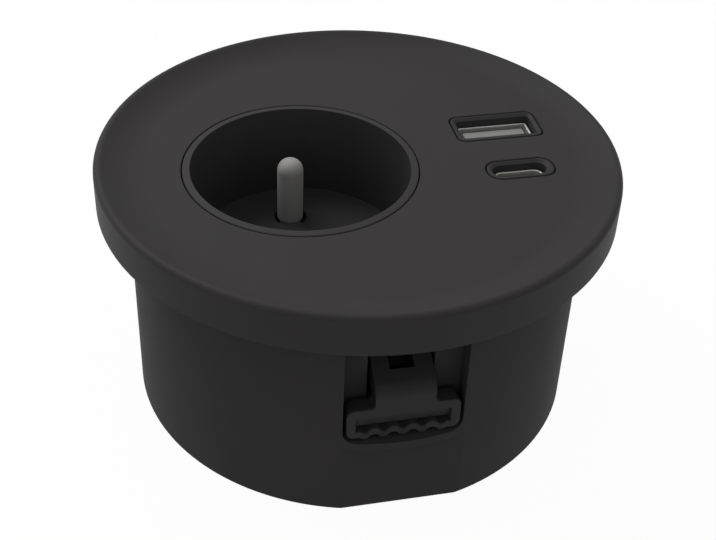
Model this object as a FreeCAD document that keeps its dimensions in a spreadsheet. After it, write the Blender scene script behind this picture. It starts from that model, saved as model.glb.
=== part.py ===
"""Electrified desk grommet: a dished round cover, a mains socket well and two charging ports over a body
that drops through a round hole in a desk, with a swing-out claw in a pocket on each side.

Millimetres, +Z up. The origin is the centre of the flange's underside, the plane that rests on the desk.
X runs from the socket well towards the charging ports, and the front claw is on the -Y side.
"""
import FreeCAD
import Part
import math
import os

import Sketcher
from FreeCAD import Placement, Rotation, Vector

# Driving sizes: alias, millimetres or degrees, meaning
SIZES = (
    ("flange_overhang", 5.35, "flange beyond the body"),
    ("flange_height", 7.2, "height of the flange above the desk"),
    ("rim_rise", 2.1, "rise of the rim above the flat centre"),
    ("dish_width", 8.5, "width of the curved zone from the flat to the edge"),
    ("edge_round", 1.0, "radius of the flange's top edge"),
    ("plate_thickness", 2.6, "thickness of the flat plate"),
    ("lip_width", 2.2, "width of the lip that rests on the desk"),
    ("lip_groove", 1.5, "width of the groove behind the lip"),
    ("groove_depth", 3.2, "depth of that groove"),
    ("body_radius", 39.65, "radius of the body below the desk top"),
    ("body_height", 38.9, "depth of the body below the desk top"),
    ("wall", 2.0, "wall of the body"),
    ("spigot_gap", 0.2, "gap between the cover's spigot and the body"),
    ("spigot_wall", 1.6, "wall of the spigot"),
    ("spigot_height", 3.5, "length of the spigot"),
    ("rim_inner_gap", 0.35, "step from the body's bore to the cover's rim"),
    ("well_offset", 10.1, "distance of the socket well from the centre"),
    ("well_radius", 18.95, "inner radius of the socket well"),
    ("ring_width", 1.3, "wall of the well, seen as a flush ring"),
    ("ring_gap", 0.14, "gap line round parts that stand in the cover"),
    ("well_depth", 17.3, "depth of the well below the flat"),
    ("well_floor", 3.0, "thickness of the well's floor"),
    ("collar_width", 1.15, "shoulder of the well under the plate"),
    ("collar_height", 1.8, "height of that shoulder"),
    ("pin_spacing", 19.0, "distance between the two plug holes"),
    ("plug_hole_radius", 2.6, "radius of a plug hole"),
    ("earth_offset", 10.0, "distance of the earth pin from the plug-hole line"),
    ("earth_radius", 2.4, "radius of the earth pin"),
    ("earth_rise", 12.4, "height of the earth pin above the floor"),
    ("earth_gap", 0.35, "gap round the earth pin at the floor"),
    ("earth_foot_step", 1.2, "shoulder of the earth pin beyond its radius"),
    ("earth_foot_height", 1.6, "height of that shoulder"),
    ("earth_shank_step", 0.4, "pin's lower part inside its radius"),
    ("rivet_step", 0.4, "pin's riveted end beyond its radius"),
    ("rivet_height", 0.8, "height of the riveted end"),
    ("boss_radius", 3.0, "radius of a screw boss or column"),
    ("boss_drop", 4.0, "length of a boss under the plate"),
    ("lug_thickness", 2.0, "thickness of a fixing lug"),
    ("lug_radius", 3.2, "end radius of a fixing lug"),
    ("lug_gap", 0.2, "gap between the well's shoulder and a lug's boss"),
    ("small_screw_radius", 1.2, "radius of a small screw's shank"),
    ("small_head_radius", 2.3, "radius of a small screw's head"),
    ("small_head_height", 1.6, "height of a small screw's head"),
    ("small_screw_length", 7.0, "length of a small screw's shank"),
    ("pilot_roof", 0.5, "material left over the tip of a carrier screw"),
    ("hole_gap", 0.15, "clearance round a screw that passes through"),
    ("thread_gap", 0.04, "clearance round a screw in its pilot hole"),
    ("carrier_end", 8.0, "carrier beyond a plug hole's centre"),
    ("carrier_front", 18.0, "carrier from the plug-hole line to the front"),
    ("carrier_back", 16.0, "carrier from the plug-hole line to the back"),
    ("carrier_height", 11.8, "height of the contact carrier"),
    ("carrier_corner", 4.0, "corner radius of the carrier"),
    ("carrier_screw_x", 9.0, "carrier screw from the well's axis along the plug-hole line"),
    ("carrier_screw_wall", 1.15, "carrier left between the shutter and a carrier screw"),
    ("slide_gap", 0.3, "clearance round the shutter"),
    ("shutter_thickness", 2.1, "thickness of the shutter"),
    ("shutter_margin", 4.6, "shutter on each side of a plug hole's centre"),
    ("shutter_front", 3.6, "shutter from the plug-hole line to the front"),
    ("shutter_travel", 6.0, "travel that opens the plug holes"),
    ("shutter_hole_gap", 0.4, "shutter hole beyond the plug hole's radius"),
    ("shutter_ramp", 1.5, "depth of the ramp that a plug pin pushes"),
    ("shutter_rim", 1.2, "shutter beyond its holes at the back"),
    ("spring_length", 12.6, "shutter spring at rest"),
    ("spring_half_width", 1.3, "half width of the shutter spring"),
    ("spring_strip", 0.35, "thickness of the spring's strip"),
    ("chamber_play", 0.1, "gap beside a contact's open mouth"),
    ("chamber_side", 0.4, "gap beside a contact's strip"),
    ("carrier_base", 1.0, "carrier left under a chamber"),
    ("leaf_thickness", 0.6, "brass strip of a contact"),
    ("leaf_width", 5.0, "width of that strip"),
    ("leaf_pinch", 2.0, "half gap of a contact where it grips"),
    ("leaf_mouth", 3.0, "half gap of a contact at its mouth"),
    ("leaf_foot", 2.6, "half gap of a contact at its foot"),
    ("pinch_share", 0.35, "how far down a contact grips, as a share of its height"),
    ("tail_length", 7.6, "contact tail from the pin's axis"),
    ("terminal_place", 5.0, "terminal screw from the pin's axis"),
    ("terminal_radius", 1.5, "radius of a terminal screw"),
    ("terminal_head_radius", 2.6, "radius of its head"),
    ("terminal_head_height", 1.8, "height of its head"),
    ("terminal_length", 4.0, "length of its shank"),
    ("strap_margin", 0.2, "earth strap beyond the riveted end"),
    ("strap_reach", 9.6, "earth strap from the pin to its far end"),
    ("strap_end", 0.8, "earth strap's end beyond the riveted end"),
    ("strap_terminal", 6.4, "earth terminal screw from the pin"),
    ("port_x", 27.0, "charging ports from the centre along X"),
    ("port_a_y", 7.5, "wide port from the centre along Y"),
    ("port_c_y", -6.5, "narrow port from the centre along Y"),
    ("port_a_length", 16.1, "outline of the wide port's boss"),
    ("port_a_width", 8.5, "the same across"),
    ("port_a_corner", 1.5, "corner radius of that boss"),
    ("port_c_length", 12.1, "outline of the narrow port's boss"),
    ("port_c_width", 5.8, "the same across"),
    ("port_c_corner", 2.4, "corner radius of that boss"),
    ("shell_a_length", 13.1, "outside of the wide metal shell"),
    ("shell_a_width", 5.7, "the same across"),
    ("shell_a_corner", 0.6, "corner radius of the wide shell"),
    ("shell_c_length", 8.94, "outside of the narrow metal shell"),
    ("shell_c_width", 3.26, "the same across"),
    ("shell_wall", 0.35, "sheet metal of a port's shell"),
    ("shell_gap", 0.08, "clearance round a port's shell"),
    ("shell_recess", 1.65, "shell below the flat"),
    ("lip_slope_width", 0.75, "sloping part of a port's lip"),
    ("lip_slope_depth", 0.45, "how far that slope drops"),
    ("tongue_a_length", 11.4, "tongue of the wide port"),
    ("tongue_a_width", 1.9, "thickness of that tongue"),
    ("tongue_a_shift", 0.9, "tongue off the wide port's middle"),
    ("tongue_c_length", 6.6, "tongue of the narrow port"),
    ("tongue_c_width", 0.75, "thickness of that tongue"),
    ("tongue_recess", 0.5, "tongue below the shell's edge"),
    ("tongue_block_height", 5.0, "height of the block that holds a tongue"),
    ("case_margin", 1.25, "port case beyond the wide port's boss along X"),
    ("case_side", 1.6, "port case beyond the ports' bosses along Y"),
    ("case_gap", 0.25, "gap between the port case and the cover's spigot"),
    ("case_wall", 0.8, "wall of the port case"),
    ("case_roof", 1.5, "roof of the port case under the plate"),
    ("case_drop", 10.3, "port case down to the board, below the desk top"),
    ("case_lug_y", 16.8, "port case lug along Y"),
    ("board_thickness", 1.6, "circuit board"),
    ("board_gap", 2.65, "gap between the board and the well"),
    ("board_half_width", 20.5, "half width of the board along Y"),
    ("board_inset", 0.6, "board inside the port case's round side"),
    ("core_x", 24.5, "transformer from the centre along X"),
    ("core_y", 8.6, "transformer from the centre along Y"),
    ("core_length", 16.0, "transformer core along X"),
    ("core_width", 6.0, "transformer core along Y"),
    ("core_height", 13.0, "transformer core down from the board"),
    ("core_leg", 2.6, "leg of the transformer core"),
    ("coil_length", 10.2, "transformer winding along X"),
    ("coil_width", 12.4, "transformer winding along Y"),
    ("coil_height", 7.4, "transformer winding along Z"),
    ("capacitor_radius", 4.0, "large capacitor"),
    ("capacitor_height", 12.5, "large capacitor"),
    ("capacitor_small_radius", 3.15, "small capacitor"),
    ("capacitor_small_height", 9.0, "small capacitor"),
    ("film_x", 27.0, "film capacitor from the centre along X"),
    ("film_y", -1.5, "film capacitor from the centre along Y"),
    ("film_length", 12.0, "film capacitor along X"),
    ("film_width", 5.0, "film capacitor along Y"),
    ("film_height", 11.0, "film capacitor down from the board"),
    ("column_gap", 2.05, "gap between a screw column and the wall"),
    ("column_angle", 50.0, "screw columns from the X axis, degrees"),
    ("column_rib", 1.8, "rib that joins a column to the wall"),
    ("long_screw_radius", 1.4, "radius of a long cover screw"),
    ("long_head_radius", 2.8, "radius of its head"),
    ("long_head_height", 1.2, "height of its head"),
    ("long_screw_top", 3.9, "tip of a long screw above the desk top"),
    ("floor_thickness", 2.2, "bottom cover"),
    ("floor_gap", 0.15, "gap round the bottom cover"),
    ("flat_depth", 1.35, "how deep the flat below a claw is cut"),
    ("flat_top", 25.1, "top of that flat, below the desk top"),
    ("flat_wall", 1.8, "wall behind that flat"),
    ("flat_margin", 2.4, "thickened wall beyond a pocket"),
    ("pocket_side", 0.6, "gap beside a claw's bar"),
    ("pocket_under", 1.1, "gap under a claw's bar"),
    ("pocket_depth", 6.3, "depth of a claw pocket"),
    ("pocket_corner", 1.5, "bottom corners of a pocket"),
    ("pocket_wall", 1.6, "walls round a pocket"),
    ("pocket_floor", 1.5, "floor of a pocket"),
    ("slot_side", 0.25, "gap beside a claw's knuckle"),
    ("slot_top", 1.6, "top of that slot below the desk top"),
    ("slot_bottom", 18.0, "bottom of that slot below the desk top"),
    ("claw_inset", 1.15, "flat face of a claw inside the body's radius"),
    ("claw_half_width", 9.5, "half width of a claw's bar"),
    ("claw_top", 16.7, "top of the bar below the desk top"),
    ("claw_bottom", 22.8, "mean bottom of the bar below the desk top"),
    ("claw_depth", 4.3, "thickness of the bar"),
    ("claw_corner", 1.4, "corner radius of the bar"),
    ("grip_side", 1.6, "bar left beside the finger slot"),
    ("grip_above", 1.9, "bar left above the finger slot"),
    ("grip_wall", 1.4, "wavy wall under the finger slot"),
    ("grip_depth", 3.0, "depth of the finger slot behind the wavy wall"),
    ("grip_lead", 0.7, "depth of the finger slot at its top"),
    ("grip_foot", 0.8, "from the slot's mean lower line to where its back wall starts to lean"),
    ("wave_margin", 0.7, "straight part of the wavy wall at each end"),
    ("wave_height", 0.45, "height of a wave"),
    ("neck_half_width", 4.9, "half width of a claw's neck"),
    ("neck_thickness", 4.0, "thickness of the leaning neck"),
    ("neck_bend", 13.3, "where the neck starts to lean, below the desk top"),
    ("neck_bend_radius", 2.0, "radius of that bend"),
    ("neck_lean", 59.0, "lean of the neck from upright, degrees"),
    ("window_half_width", 2.05, "half width of the window in the neck"),
    ("window_face", 3.15, "claw left in front of the neck's window"),
    ("window_root", 0.5, "neck left between the knuckle and the window"),
    ("window_drop", 16.0, "how far down the window is cut"),
    ("hinge_inset", 12.15, "claw hinge inside the body's radius"),
    ("knuckle_radius", 2.6, "radius of the hinge knuckle"),
    ("knuckle_step", 0.4, "knuckle beyond the neck on each side"),
    ("hinge_pin_radius", 1.25, "radius of the hinge pin"),
    ("hinge_gap", 0.06, "clearance of the knuckle on its pin"),
    ("seat_gap", 0.02, "clearance of the pin in the ears"),
    ("ear_thickness", 2.5, "thickness of a hinge ear"),
    ("ear_lead", 0.3, "ear's round end further in than the hinge"),
    ("ear_half_height", 3.8, "half height of an ear"),
    ("leaf_spring_thickness", 0.4, "steel leaf that holds a claw"),
    ("leaf_spring_gap", 0.25, "gap between the leaf and the knuckle"),
    ("leaf_spring_end", 0.85, "ear left beyond the leaf's end"),
    ("leaf_spring_shelf", 0.8, "ear left under the leaf"),
    ("leaf_fit", 0.05, "clearance of the leaf in its slot"),
    ("cable_y", 22.5, "cable inlet from the centre along Y"),
    ("cable_radius", 4.5, "bore of the cable bush"),
    ("bush_wall", 1.3, "wall of the bush"),
    ("bush_flange_width", 1.7, "flanges of the bush beyond its wall"),
    ("bush_flange_height", 1.0, "outer flange of the bush"),
    ("bush_inner_height", 1.2, "inner flange of the bush"),
    ("bush_sleeve", 1.2, "sleeve of the bush above its inner flange"),
    ("bush_gap", 0.1, "clearance round the bush"),
    ("clamp_end", 2.9, "clamp bar beyond its screws"),
    ("clamp_split", 1.0, "cradle and clamp bar from the cable's middle"),
    ("grip_mouth", 0.4, "cable groove's mouth beyond the cable"),
    ("grip_root", 1.9, "cable groove's root inside the cable's radius"),
    ("grip_play", 0.2, "cable groove deeper than the cable"),
    ("cradle_depth", 8.0, "depth of the cradle along Y"),
    ("cradle_height", 10.0, "cradle above the bottom cover"),
    ("clamp_web", 1.2, "clamp bar beyond the cable"),
    ("clamp_lift", 2.9, "clamp bar above the bottom cover"),
    ("clamp_height", 5.2, "height of the clamp bar"),
    ("clamp_screw_side", 3.1, "clamp screw from the cable's surface"),
    ("clamp_screw_length", 11.5, "length of a clamp screw"),
)


class Size(float):
    """A number that remembers the sheet expression it comes from."""

    def __new__(cls, value, text):
        made = float.__new__(cls, value)
        made.text = text
        return made

    def __add__(self, other):
        return Size(float(self) + float(other), "(%s + %s)" % (self.text, text_of(other)))

    def __radd__(self, other):
        return Size(float(other) + float(self), "(%s + %s)" % (text_of(other), self.text))

    def __sub__(self, other):
        return Size(float(self) - float(other), "(%s - %s)" % (self.text, text_of(other)))

    def __rsub__(self, other):
        return Size(float(other) - float(self), "(%s - %s)" % (text_of(other), self.text))

    def __mul__(self, other):
        return Size(float(self) * float(other), "(%s * %s)" % (self.text, text_of(other)))

    def __rmul__(self, other):
        return Size(float(other) * float(self), "(%s * %s)" % (text_of(other), self.text))

    def __truediv__(self, other):
        return Size(float(self) / float(other), "(%s / %s)" % (self.text, text_of(other)))

    def __neg__(self):
        return Size(-float(self), "(0 - %s)" % self.text)


def text_of(number):
    """The expression of a size, or the number itself."""
    if isinstance(number, Size):
        return number.text
    return "(%r)" % float(number)


def root(size):
    """Square root of a size."""
    return Size(math.sqrt(size), "sqrt(%s)" % text_of(size))


def sine(degrees):
    """Sine of an angle in degrees."""
    return Size(math.sin(math.radians(degrees)), "sin(%s)" % text_of(degrees))


def cosine(degrees):
    """Cosine of an angle in degrees."""
    return Size(math.cos(math.radians(degrees)), "cos(%s)" % text_of(degrees))


def tangent(degrees):
    """Tangent of an angle in degrees."""
    return Size(math.tan(math.radians(degrees)), "tan(%s)" % text_of(degrees))


def chord_x(radius, y):
    """Where a circle about the centre reaches at the height y."""
    return root(radius * radius - y * y)


class Sheet:
    """The driving sizes as attributes."""

    def __init__(self, doc):
        cells = doc.addObject("Spreadsheet::Sheet", "sizes")
        for row, (alias, value, meaning) in enumerate(SIZES, start=1):
            cells.set("A%d" % row, str(value))
            cells.setAlias("A%d" % row, alias)
            cells.set("B%d" % row, meaning)
            setattr(self, alias, Size(value, "sizes.%s" % alias))


doc = FreeCAD.newDocument("desk_grommet")
s = Sheet(doc)
doc.recompute()

# How far a cut runs past the face that it opens
INSIDE = 1.0
# How far a form starts inside what carries it, or a cutter outside what it cuts
SUNK = 0.5
SPRING_FOLDS = 8
WAVES = 4

# Levels and radii that several pieces share
flat = s.flange_height - s.rim_rise
under_plate = flat - s.plate_thickness
body_bore = s.body_radius - s.wall
well_outer = s.well_radius + s.ring_width
well_bottom = flat - s.well_depth
floor_bottom = well_bottom - s.well_floor
collar_radius = well_outer + s.collar_width
flange_radius = s.body_radius + s.flange_overhang
spigot_outer = body_bore - s.spigot_gap
spigot_inner = spigot_outer - s.spigot_wall
earth_foot_radius = s.earth_radius + s.earth_foot_step
earth_shank_radius = s.earth_radius - s.earth_shank_step
rivet_radius = s.earth_radius + s.rivet_step
strap_half_width = rivet_radius + s.strap_margin
strap_back = rivet_radius + s.strap_end
carrier_length = s.pin_spacing + s.carrier_end * 2
chamber_length = (s.leaf_mouth + s.leaf_thickness + s.chamber_play) * 2
chamber_width = s.leaf_width + s.chamber_side * 2
case_left = s.port_x - s.port_a_length / 2 - s.case_margin
case_front = s.port_c_width / 2 + s.case_side - s.port_c_y
case_back = s.port_a_y + s.port_a_width / 2 + s.case_side
case_radius = spigot_inner - s.case_gap
board_left = well_outer - s.well_offset + s.board_gap
board_radius = case_radius - s.board_inset
column_radius = body_bore - s.boss_radius - s.column_gap
pocket_half_width = s.claw_half_width + s.pocket_side
pocket_drop = s.claw_bottom + s.pocket_under
pocket_back = s.body_radius - s.pocket_depth
flat_place = s.body_radius - s.flat_depth
flat_half_width = pocket_half_width + s.flat_margin
claw_face = s.body_radius - s.claw_inset
grip_half_width = s.claw_half_width - s.grip_side
grip_top = s.claw_top + s.grip_above
wave_pitch = (grip_half_width - s.wave_margin) * 2 / (WAVES + 0.5)
hinge_place = s.body_radius - s.hinge_inset
knuckle_half_width = s.neck_half_width + s.knuckle_step
slot_half_width = knuckle_half_width + s.slot_side
window_outer = claw_face - s.window_face
window_inner = hinge_place + s.knuckle_radius + s.window_root
ear_inner = hinge_place - s.ear_half_height - s.ear_lead
leaf_spring_half_width = slot_half_width + s.ear_thickness - s.leaf_spring_end
bush_neck_radius = s.cable_radius + s.bush_wall
bush_flange_radius = bush_neck_radius + s.bush_flange_width
clamp_screw_x = s.cable_radius + s.clamp_screw_side
cradle_half_width = clamp_screw_x + s.clamp_end
cradle_front = s.cable_y + s.clamp_split
cradle_back = cradle_front + s.cradle_depth
clamp_front = s.cable_y - s.cable_radius - s.clamp_web
clamp_back = s.cable_y - s.clamp_split
lug_reach = collar_radius + s.boss_radius + s.lug_gap
lug_top = under_plate - s.boss_drop
lug_bottom = lug_top - s.lug_thickness
carrier_bottom = floor_bottom - s.carrier_height
shutter_top = floor_bottom - s.slide_gap
recess_floor = shutter_top - s.shutter_thickness - s.slide_gap
half_spacing = s.pin_spacing / 2
cover_floor = s.floor_thickness - s.body_height
board_top = -s.case_drop
board_bottom = board_top - s.board_thickness
column_x = column_radius * cosine(s.column_angle)
column_y = column_radius * sine(s.column_angle)
lug_x = lug_reach * cosine(45)
hinge_run = (claw_face - hinge_place - s.neck_thickness / 2 * cosine(s.neck_lean)) / sine(s.neck_lean)
hinge_z = hinge_run * cosine(s.neck_lean) - s.neck_bend - s.neck_thickness / 2 * sine(s.neck_lean)
clamp_low = -(cover_floor + s.clamp_lift)
clamp_high = clamp_low - s.clamp_height
clamp_z = -(clamp_low + clamp_high) / 2
strap_thickness = s.leaf_thickness
shutter_bridge = s.plug_hole_radius + s.shutter_hole_gap
shutter_back = s.shutter_travel + s.plug_hole_radius + s.shutter_hole_gap + s.shutter_rim
carrier_screw_y = shutter_back + s.slide_gap + s.small_screw_radius + s.hole_gap + s.carrier_screw_wall
carrier_screws_at = [(s.carrier_screw_x, carrier_screw_y), (-s.carrier_screw_x, -carrier_screw_y)]
carrier_screw_sink = s.carrier_height + s.well_floor - s.pilot_roof - s.small_screw_length


def bind(thing, name, size):
    """Ties a property of a feature to its size."""
    thing.setExpression(name, text_of(size))


def place(thing, x=0.0, y=0.0, z=0.0):
    """Puts a feature or body at a place that follows the sheet."""
    for axis, value in zip("xyz", (x, y, z)):
        bind(thing, "Placement.Base.%s" % axis, value)
    return thing


def new_body(name, x=0.0, y=0.0, turn=0.0):
    """A body with its own placement; its label names its file."""
    body = doc.addObject("PartDesign::Body", name)
    body.Label = name
    body.Placement = Placement(Vector(0, 0, 0), Rotation(Vector(0, 0, 1), turn))
    return place(body, x, y)


def origin_feature(body, role):
    """One of the body's own origin planes or axes."""
    return next(f for f in body.Origin.OriginFeatures if f.Role == role)


def new_sketch(body, role="XY_Plane", height=0.0):
    """A sketch on an origin plane of its own body, lifted along the plane's normal."""
    sketch = body.newObject("Sketcher::SketchObject", "%s_sketch" % body.Name)
    sketch.AttachmentSupport = (origin_feature(body, role), [""])
    sketch.MapMode = "FlatFace"
    bind(sketch, "AttachmentOffset.Base.z", height)
    return sketch


def fix_point(sketch, geometry, end, x, y):
    """Holds a point of the sketch at its distance from the origin."""
    for kind, value in (("DistanceX", x), ("DistanceY", y)):
        index = sketch.addConstraint(Sketcher.Constraint(kind, -1, 1, geometry, end, float(value)))
        bind(sketch, "Constraints[%d]" % index, value)


def fix_radius(sketch, geometry, radius):
    """Holds the radius of a circle or an arc."""
    index = sketch.addConstraint(Sketcher.Constraint("Radius", geometry, float(radius)))
    bind(sketch, "Constraints[%d]" % index, radius)


def arc_centre(start, end, radius):
    """Centre of the short arc between two points, on the left of travel for a positive radius."""
    way = end - start
    reach = math.sqrt(max(radius * radius - way.Length * way.Length / 4, 0.0))
    left = Vector(-way.y, way.x, 0).normalize()
    return (start + end) * 0.5 + left * math.copysign(reach, radius)


def outline(sketch, corners):
    """Closes an outline through its corners; a corner's third value is the radius of the arc that leaves it.

    A positive radius puts the centre on the left of travel.
    """
    starts = []
    ends = []
    for here, after in zip(corners, corners[1:] + corners[:1]):
        start = Vector(float(here[0]), float(here[1]), 0)
        end = Vector(float(after[0]), float(after[1]), 0)
        if len(here) == 2:
            index = sketch.addGeometry(Part.LineSegment(start, end))
            starts.append((index, 1))
            ends.append((index, 2))
            continue
        centre = arc_centre(start, end, float(here[2]))
        first, last = (start, end) if here[2] > 0 else (end, start)
        angles = [math.atan2(p.y - centre.y, p.x - centre.x) for p in (first, last)]
        circle = Part.Circle(centre, Vector(0, 0, 1), abs(float(here[2])))
        index = sketch.addGeometry(Part.ArcOfCircle(circle, angles[0], angles[1]))
        starts.append((index, 1 if here[2] > 0 else 2))
        ends.append((index, 2 if here[2] > 0 else 1))
    for end, start in zip(ends, starts[1:] + starts[:1]):
        sketch.addConstraint(Sketcher.Constraint("Coincident", end[0], end[1], start[0], start[1]))
    for (index, end), corner in zip(starts, corners):
        fix_point(sketch, index, end, corner[0], corner[1])
        if len(corner) == 3:
            fix_radius(sketch, index, corner[2] if corner[2] > 0 else -corner[2])
    return sketch


def circles(sketch, radius, places):
    """Circles of one radius at several places."""
    for x, y in places:
        index = sketch.addGeometry(Part.Circle(Vector(float(x), float(y), 0), Vector(0, 0, 1), float(radius)))
        fix_point(sketch, index, 3, x, y)
        fix_radius(sketch, index, radius)
    return sketch


def box_outline(sketch, left, right, low, high):
    """A rectangle from its four sides."""
    return outline(sketch, [(left, low), (right, low), (right, high), (left, high)])


def rounded_outline(sketch, x, y, length, width, corner):
    """A rectangle with round corners about its centre."""
    left, right = x - length / 2, x + length / 2
    low, high = y - width / 2, y + width / 2
    return outline(sketch, [
        (left + corner, low), (right - corner, low, corner),
        (right, low + corner), (right, high - corner, corner),
        (right - corner, high), (left + corner, high, corner),
        (left, high - corner), (left, low + corner, corner),
    ])


def stadium_outline(sketch, x, y, length, width):
    """A slot shape with round ends, each end two quarter arcs."""
    radius = width / 2
    run = length / 2 - radius
    return outline(sketch, [
        (x - run, y - radius), (x + run, y - radius, radius),
        (x + run + radius, y, radius), (x + run, y + radius),
        (x - run, y + radius, radius), (x - run - radius, y, radius),
    ])


def pad(body, sketch, length, both=False, back=False):
    """Adds the sketch's outline to the body as a prism."""
    feature = body.newObject("PartDesign::Pad", "%s_pad" % body.Name)
    feature.Profile = sketch
    feature.SideType = "Symmetric" if both else "One side"
    feature.Reversed = back
    bind(feature, "Length", length)
    return feature


def pocket(body, sketch, length, both=False, back=False):
    """Cuts the sketch's outline out of the body."""
    feature = body.newObject("PartDesign::Pocket", "%s_pocket" % body.Name)
    feature.Profile = sketch
    feature.SideType = "Symmetric" if both else "One side"
    feature.Reversed = back
    bind(feature, "Length", length)
    return feature


def sloped_cut(body, upper, lower):
    """Cuts a funnel between two outlines that have as many corners as each other."""
    feature = body.newObject("PartDesign::SubtractiveLoft", "%s_slope" % body.Name)
    feature.Profile = upper
    feature.Sections = [lower]
    feature.Ruled = True
    return feature


def revolve(body, corners):
    """Turns an outline of radius and height about the body's own Z axis."""
    sketch = outline(new_sketch(body, "XZ_Plane"), corners)
    feature = body.newObject("PartDesign::Revolution", "%s_turned" % body.Name)
    feature.Profile = sketch
    feature.ReferenceAxis = (sketch, ["V_Axis"])
    feature.Angle = 360
    return feature


def repeat(body, features, count):
    """Repeats features evenly round the body's Z axis."""
    pattern = body.newObject("PartDesign::PolarPattern", "%s_pattern" % body.Name)
    pattern.Originals = features
    pattern.Axis = (origin_feature(body, "Z_Axis"), [""])
    pattern.Angle = 360
    pattern.Occurrences = count
    body.Tip = pattern
    return pattern


def mirror(body, features, role):
    """Mirrors features in an origin plane of the body."""
    copy = body.newObject("PartDesign::Mirrored", "%s_mirror" % body.Name)
    copy.Originals = features
    copy.MirrorPlane = (origin_feature(body, role), [""])
    body.Tip = copy
    return copy


def four_ways(x, y):
    """The four places at plus and minus x and y."""
    return [(x, y), (-x, y), (-x, -y), (x, -y)]


def rod(name, radius, length, x, y, z, axis=Vector(0, 0, 1)):
    """A cylinder whose base centre lies at x, y, z."""
    cylinder = doc.addObject("Part::Cylinder", name)
    bind(cylinder, "Radius", radius)
    bind(cylinder, "Height", length)
    cylinder.Placement = Placement(Vector(0, 0, 0), Rotation(Vector(0, 0, 1), axis))
    return place(cylinder, x, y, z)


def screw(name, shank, length, head, thickness, x, y, z, axis=Vector(0, 0, 1)):
    """A screw whose head starts at x, y, z and whose shank runs on along the axis."""
    cap = rod(name + "_head", head, thickness, x, y, z, axis)
    start = [value + part * thickness for value, part in zip((x, y, z), (axis.x, axis.y, axis.z))]
    stem = rod(name + "_shank", shank, length, start[0], start[1], start[2], axis)
    joined = doc.addObject("Part::Fuse", name)
    joined.Base = cap
    joined.Tool = stem
    return joined


def group(name, members):
    """One node that holds several separate solids."""
    compound = doc.addObject("Part::Compound", name)
    compound.Label = name
    compound.Links = members
    return compound


def make_top_cover():
    """Round cover: a flat plate in a dish whose rim rises and rolls over into the upright edge.

    The dish is a concave arc that leaves the flat level and meets the edge's own arc smoothly.
    """
    body = new_body("top_cover")
    run = s.dish_width - s.edge_round
    centres = (run * run + s.rim_rise * s.rim_rise) / (s.rim_rise * 2)
    dish = centres - s.edge_round
    flat_edge = flange_radius - s.dish_width
    meet_r = flat_edge + run * dish / centres
    meet_z = flat + dish - (centres - s.rim_rise) * dish / centres
    groove_outer = flange_radius - s.lip_width
    groove_inner = groove_outer - s.lip_groove
    rim_inner = body_bore - s.rim_inner_gap
    revolve(body, [
        (0, under_plate), (spigot_inner, under_plate), (spigot_inner, -s.spigot_height),
        (spigot_outer, -s.spigot_height), (spigot_outer, 0), (groove_inner, 0),
        (groove_inner, s.groove_depth), (groove_outer, s.groove_depth), (groove_outer, 0),
        (flange_radius, 0), (flange_radius, s.flange_height - s.edge_round, s.edge_round),
        (flange_radius - s.edge_round, s.flange_height, s.edge_round),
        (meet_r, meet_z, -dish), (flat_edge, flat), (0, flat),
    ])
    notch = pocket_half_width + s.pocket_wall + SUNK
    for low, high in ((-s.body_radius, -ear_inner), (ear_inner, s.body_radius)):
        pocket(body, box_outline(new_sketch(body), -notch, notch, low, high), s.spigot_height + INSIDE)
    ceiling = pocket_half_width + s.pocket_wall
    ledge = pocket_back - s.pocket_wall
    for low, high in ((-rim_inner - INSIDE, -ledge), (ledge, rim_inner + INSIDE)):
        pad(body, box_outline(new_sketch(body), -ceiling, ceiling, low, high), under_plate)
    bosses = [(-s.well_offset + lug_x, lug_x), (-s.well_offset - lug_x, lug_x),
              (-s.well_offset - lug_x, -lug_x), (-s.well_offset + lug_x, -lug_x),
              (s.port_x, s.case_lug_y), (s.port_x, -s.case_lug_y)]
    pad(body, circles(new_sketch(body, height=lug_top), s.boss_radius, bosses), s.boss_drop)
    pad(body, circles(new_sketch(body), s.boss_radius, four_ways(column_x, column_y)), under_plate)
    pilots = s.small_screw_radius + s.thread_gap
    pilot_depth = s.small_screw_length - s.lug_thickness + s.thread_gap
    pocket(body, circles(new_sketch(body, height=lug_top), pilots, bosses), pilot_depth, back=True)
    long_pilot = s.long_screw_radius + s.thread_gap
    tips = four_ways(column_x, column_y)
    pocket(body, circles(new_sketch(body), long_pilot, tips), s.long_screw_top + s.thread_gap, back=True)
    top = new_sketch(body, height=flat)
    circles(top, well_outer + s.ring_gap, [(-s.well_offset, 0)])
    pocket(body, top, s.plate_thickness + INSIDE)
    for y, length, width, corner in ((s.port_a_y, s.port_a_length, s.port_a_width, s.port_a_corner),
                                     (s.port_c_y, s.port_c_length, s.port_c_width, s.port_c_corner)):
        hole = new_sketch(body, height=flat + SUNK)
        gap = s.ring_gap
        rounded_outline(hole, s.port_x, y, length + gap * 2, width + gap * 2, corner + gap)
        pocket(body, hole, s.plate_thickness + INSIDE)
    return body


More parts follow.
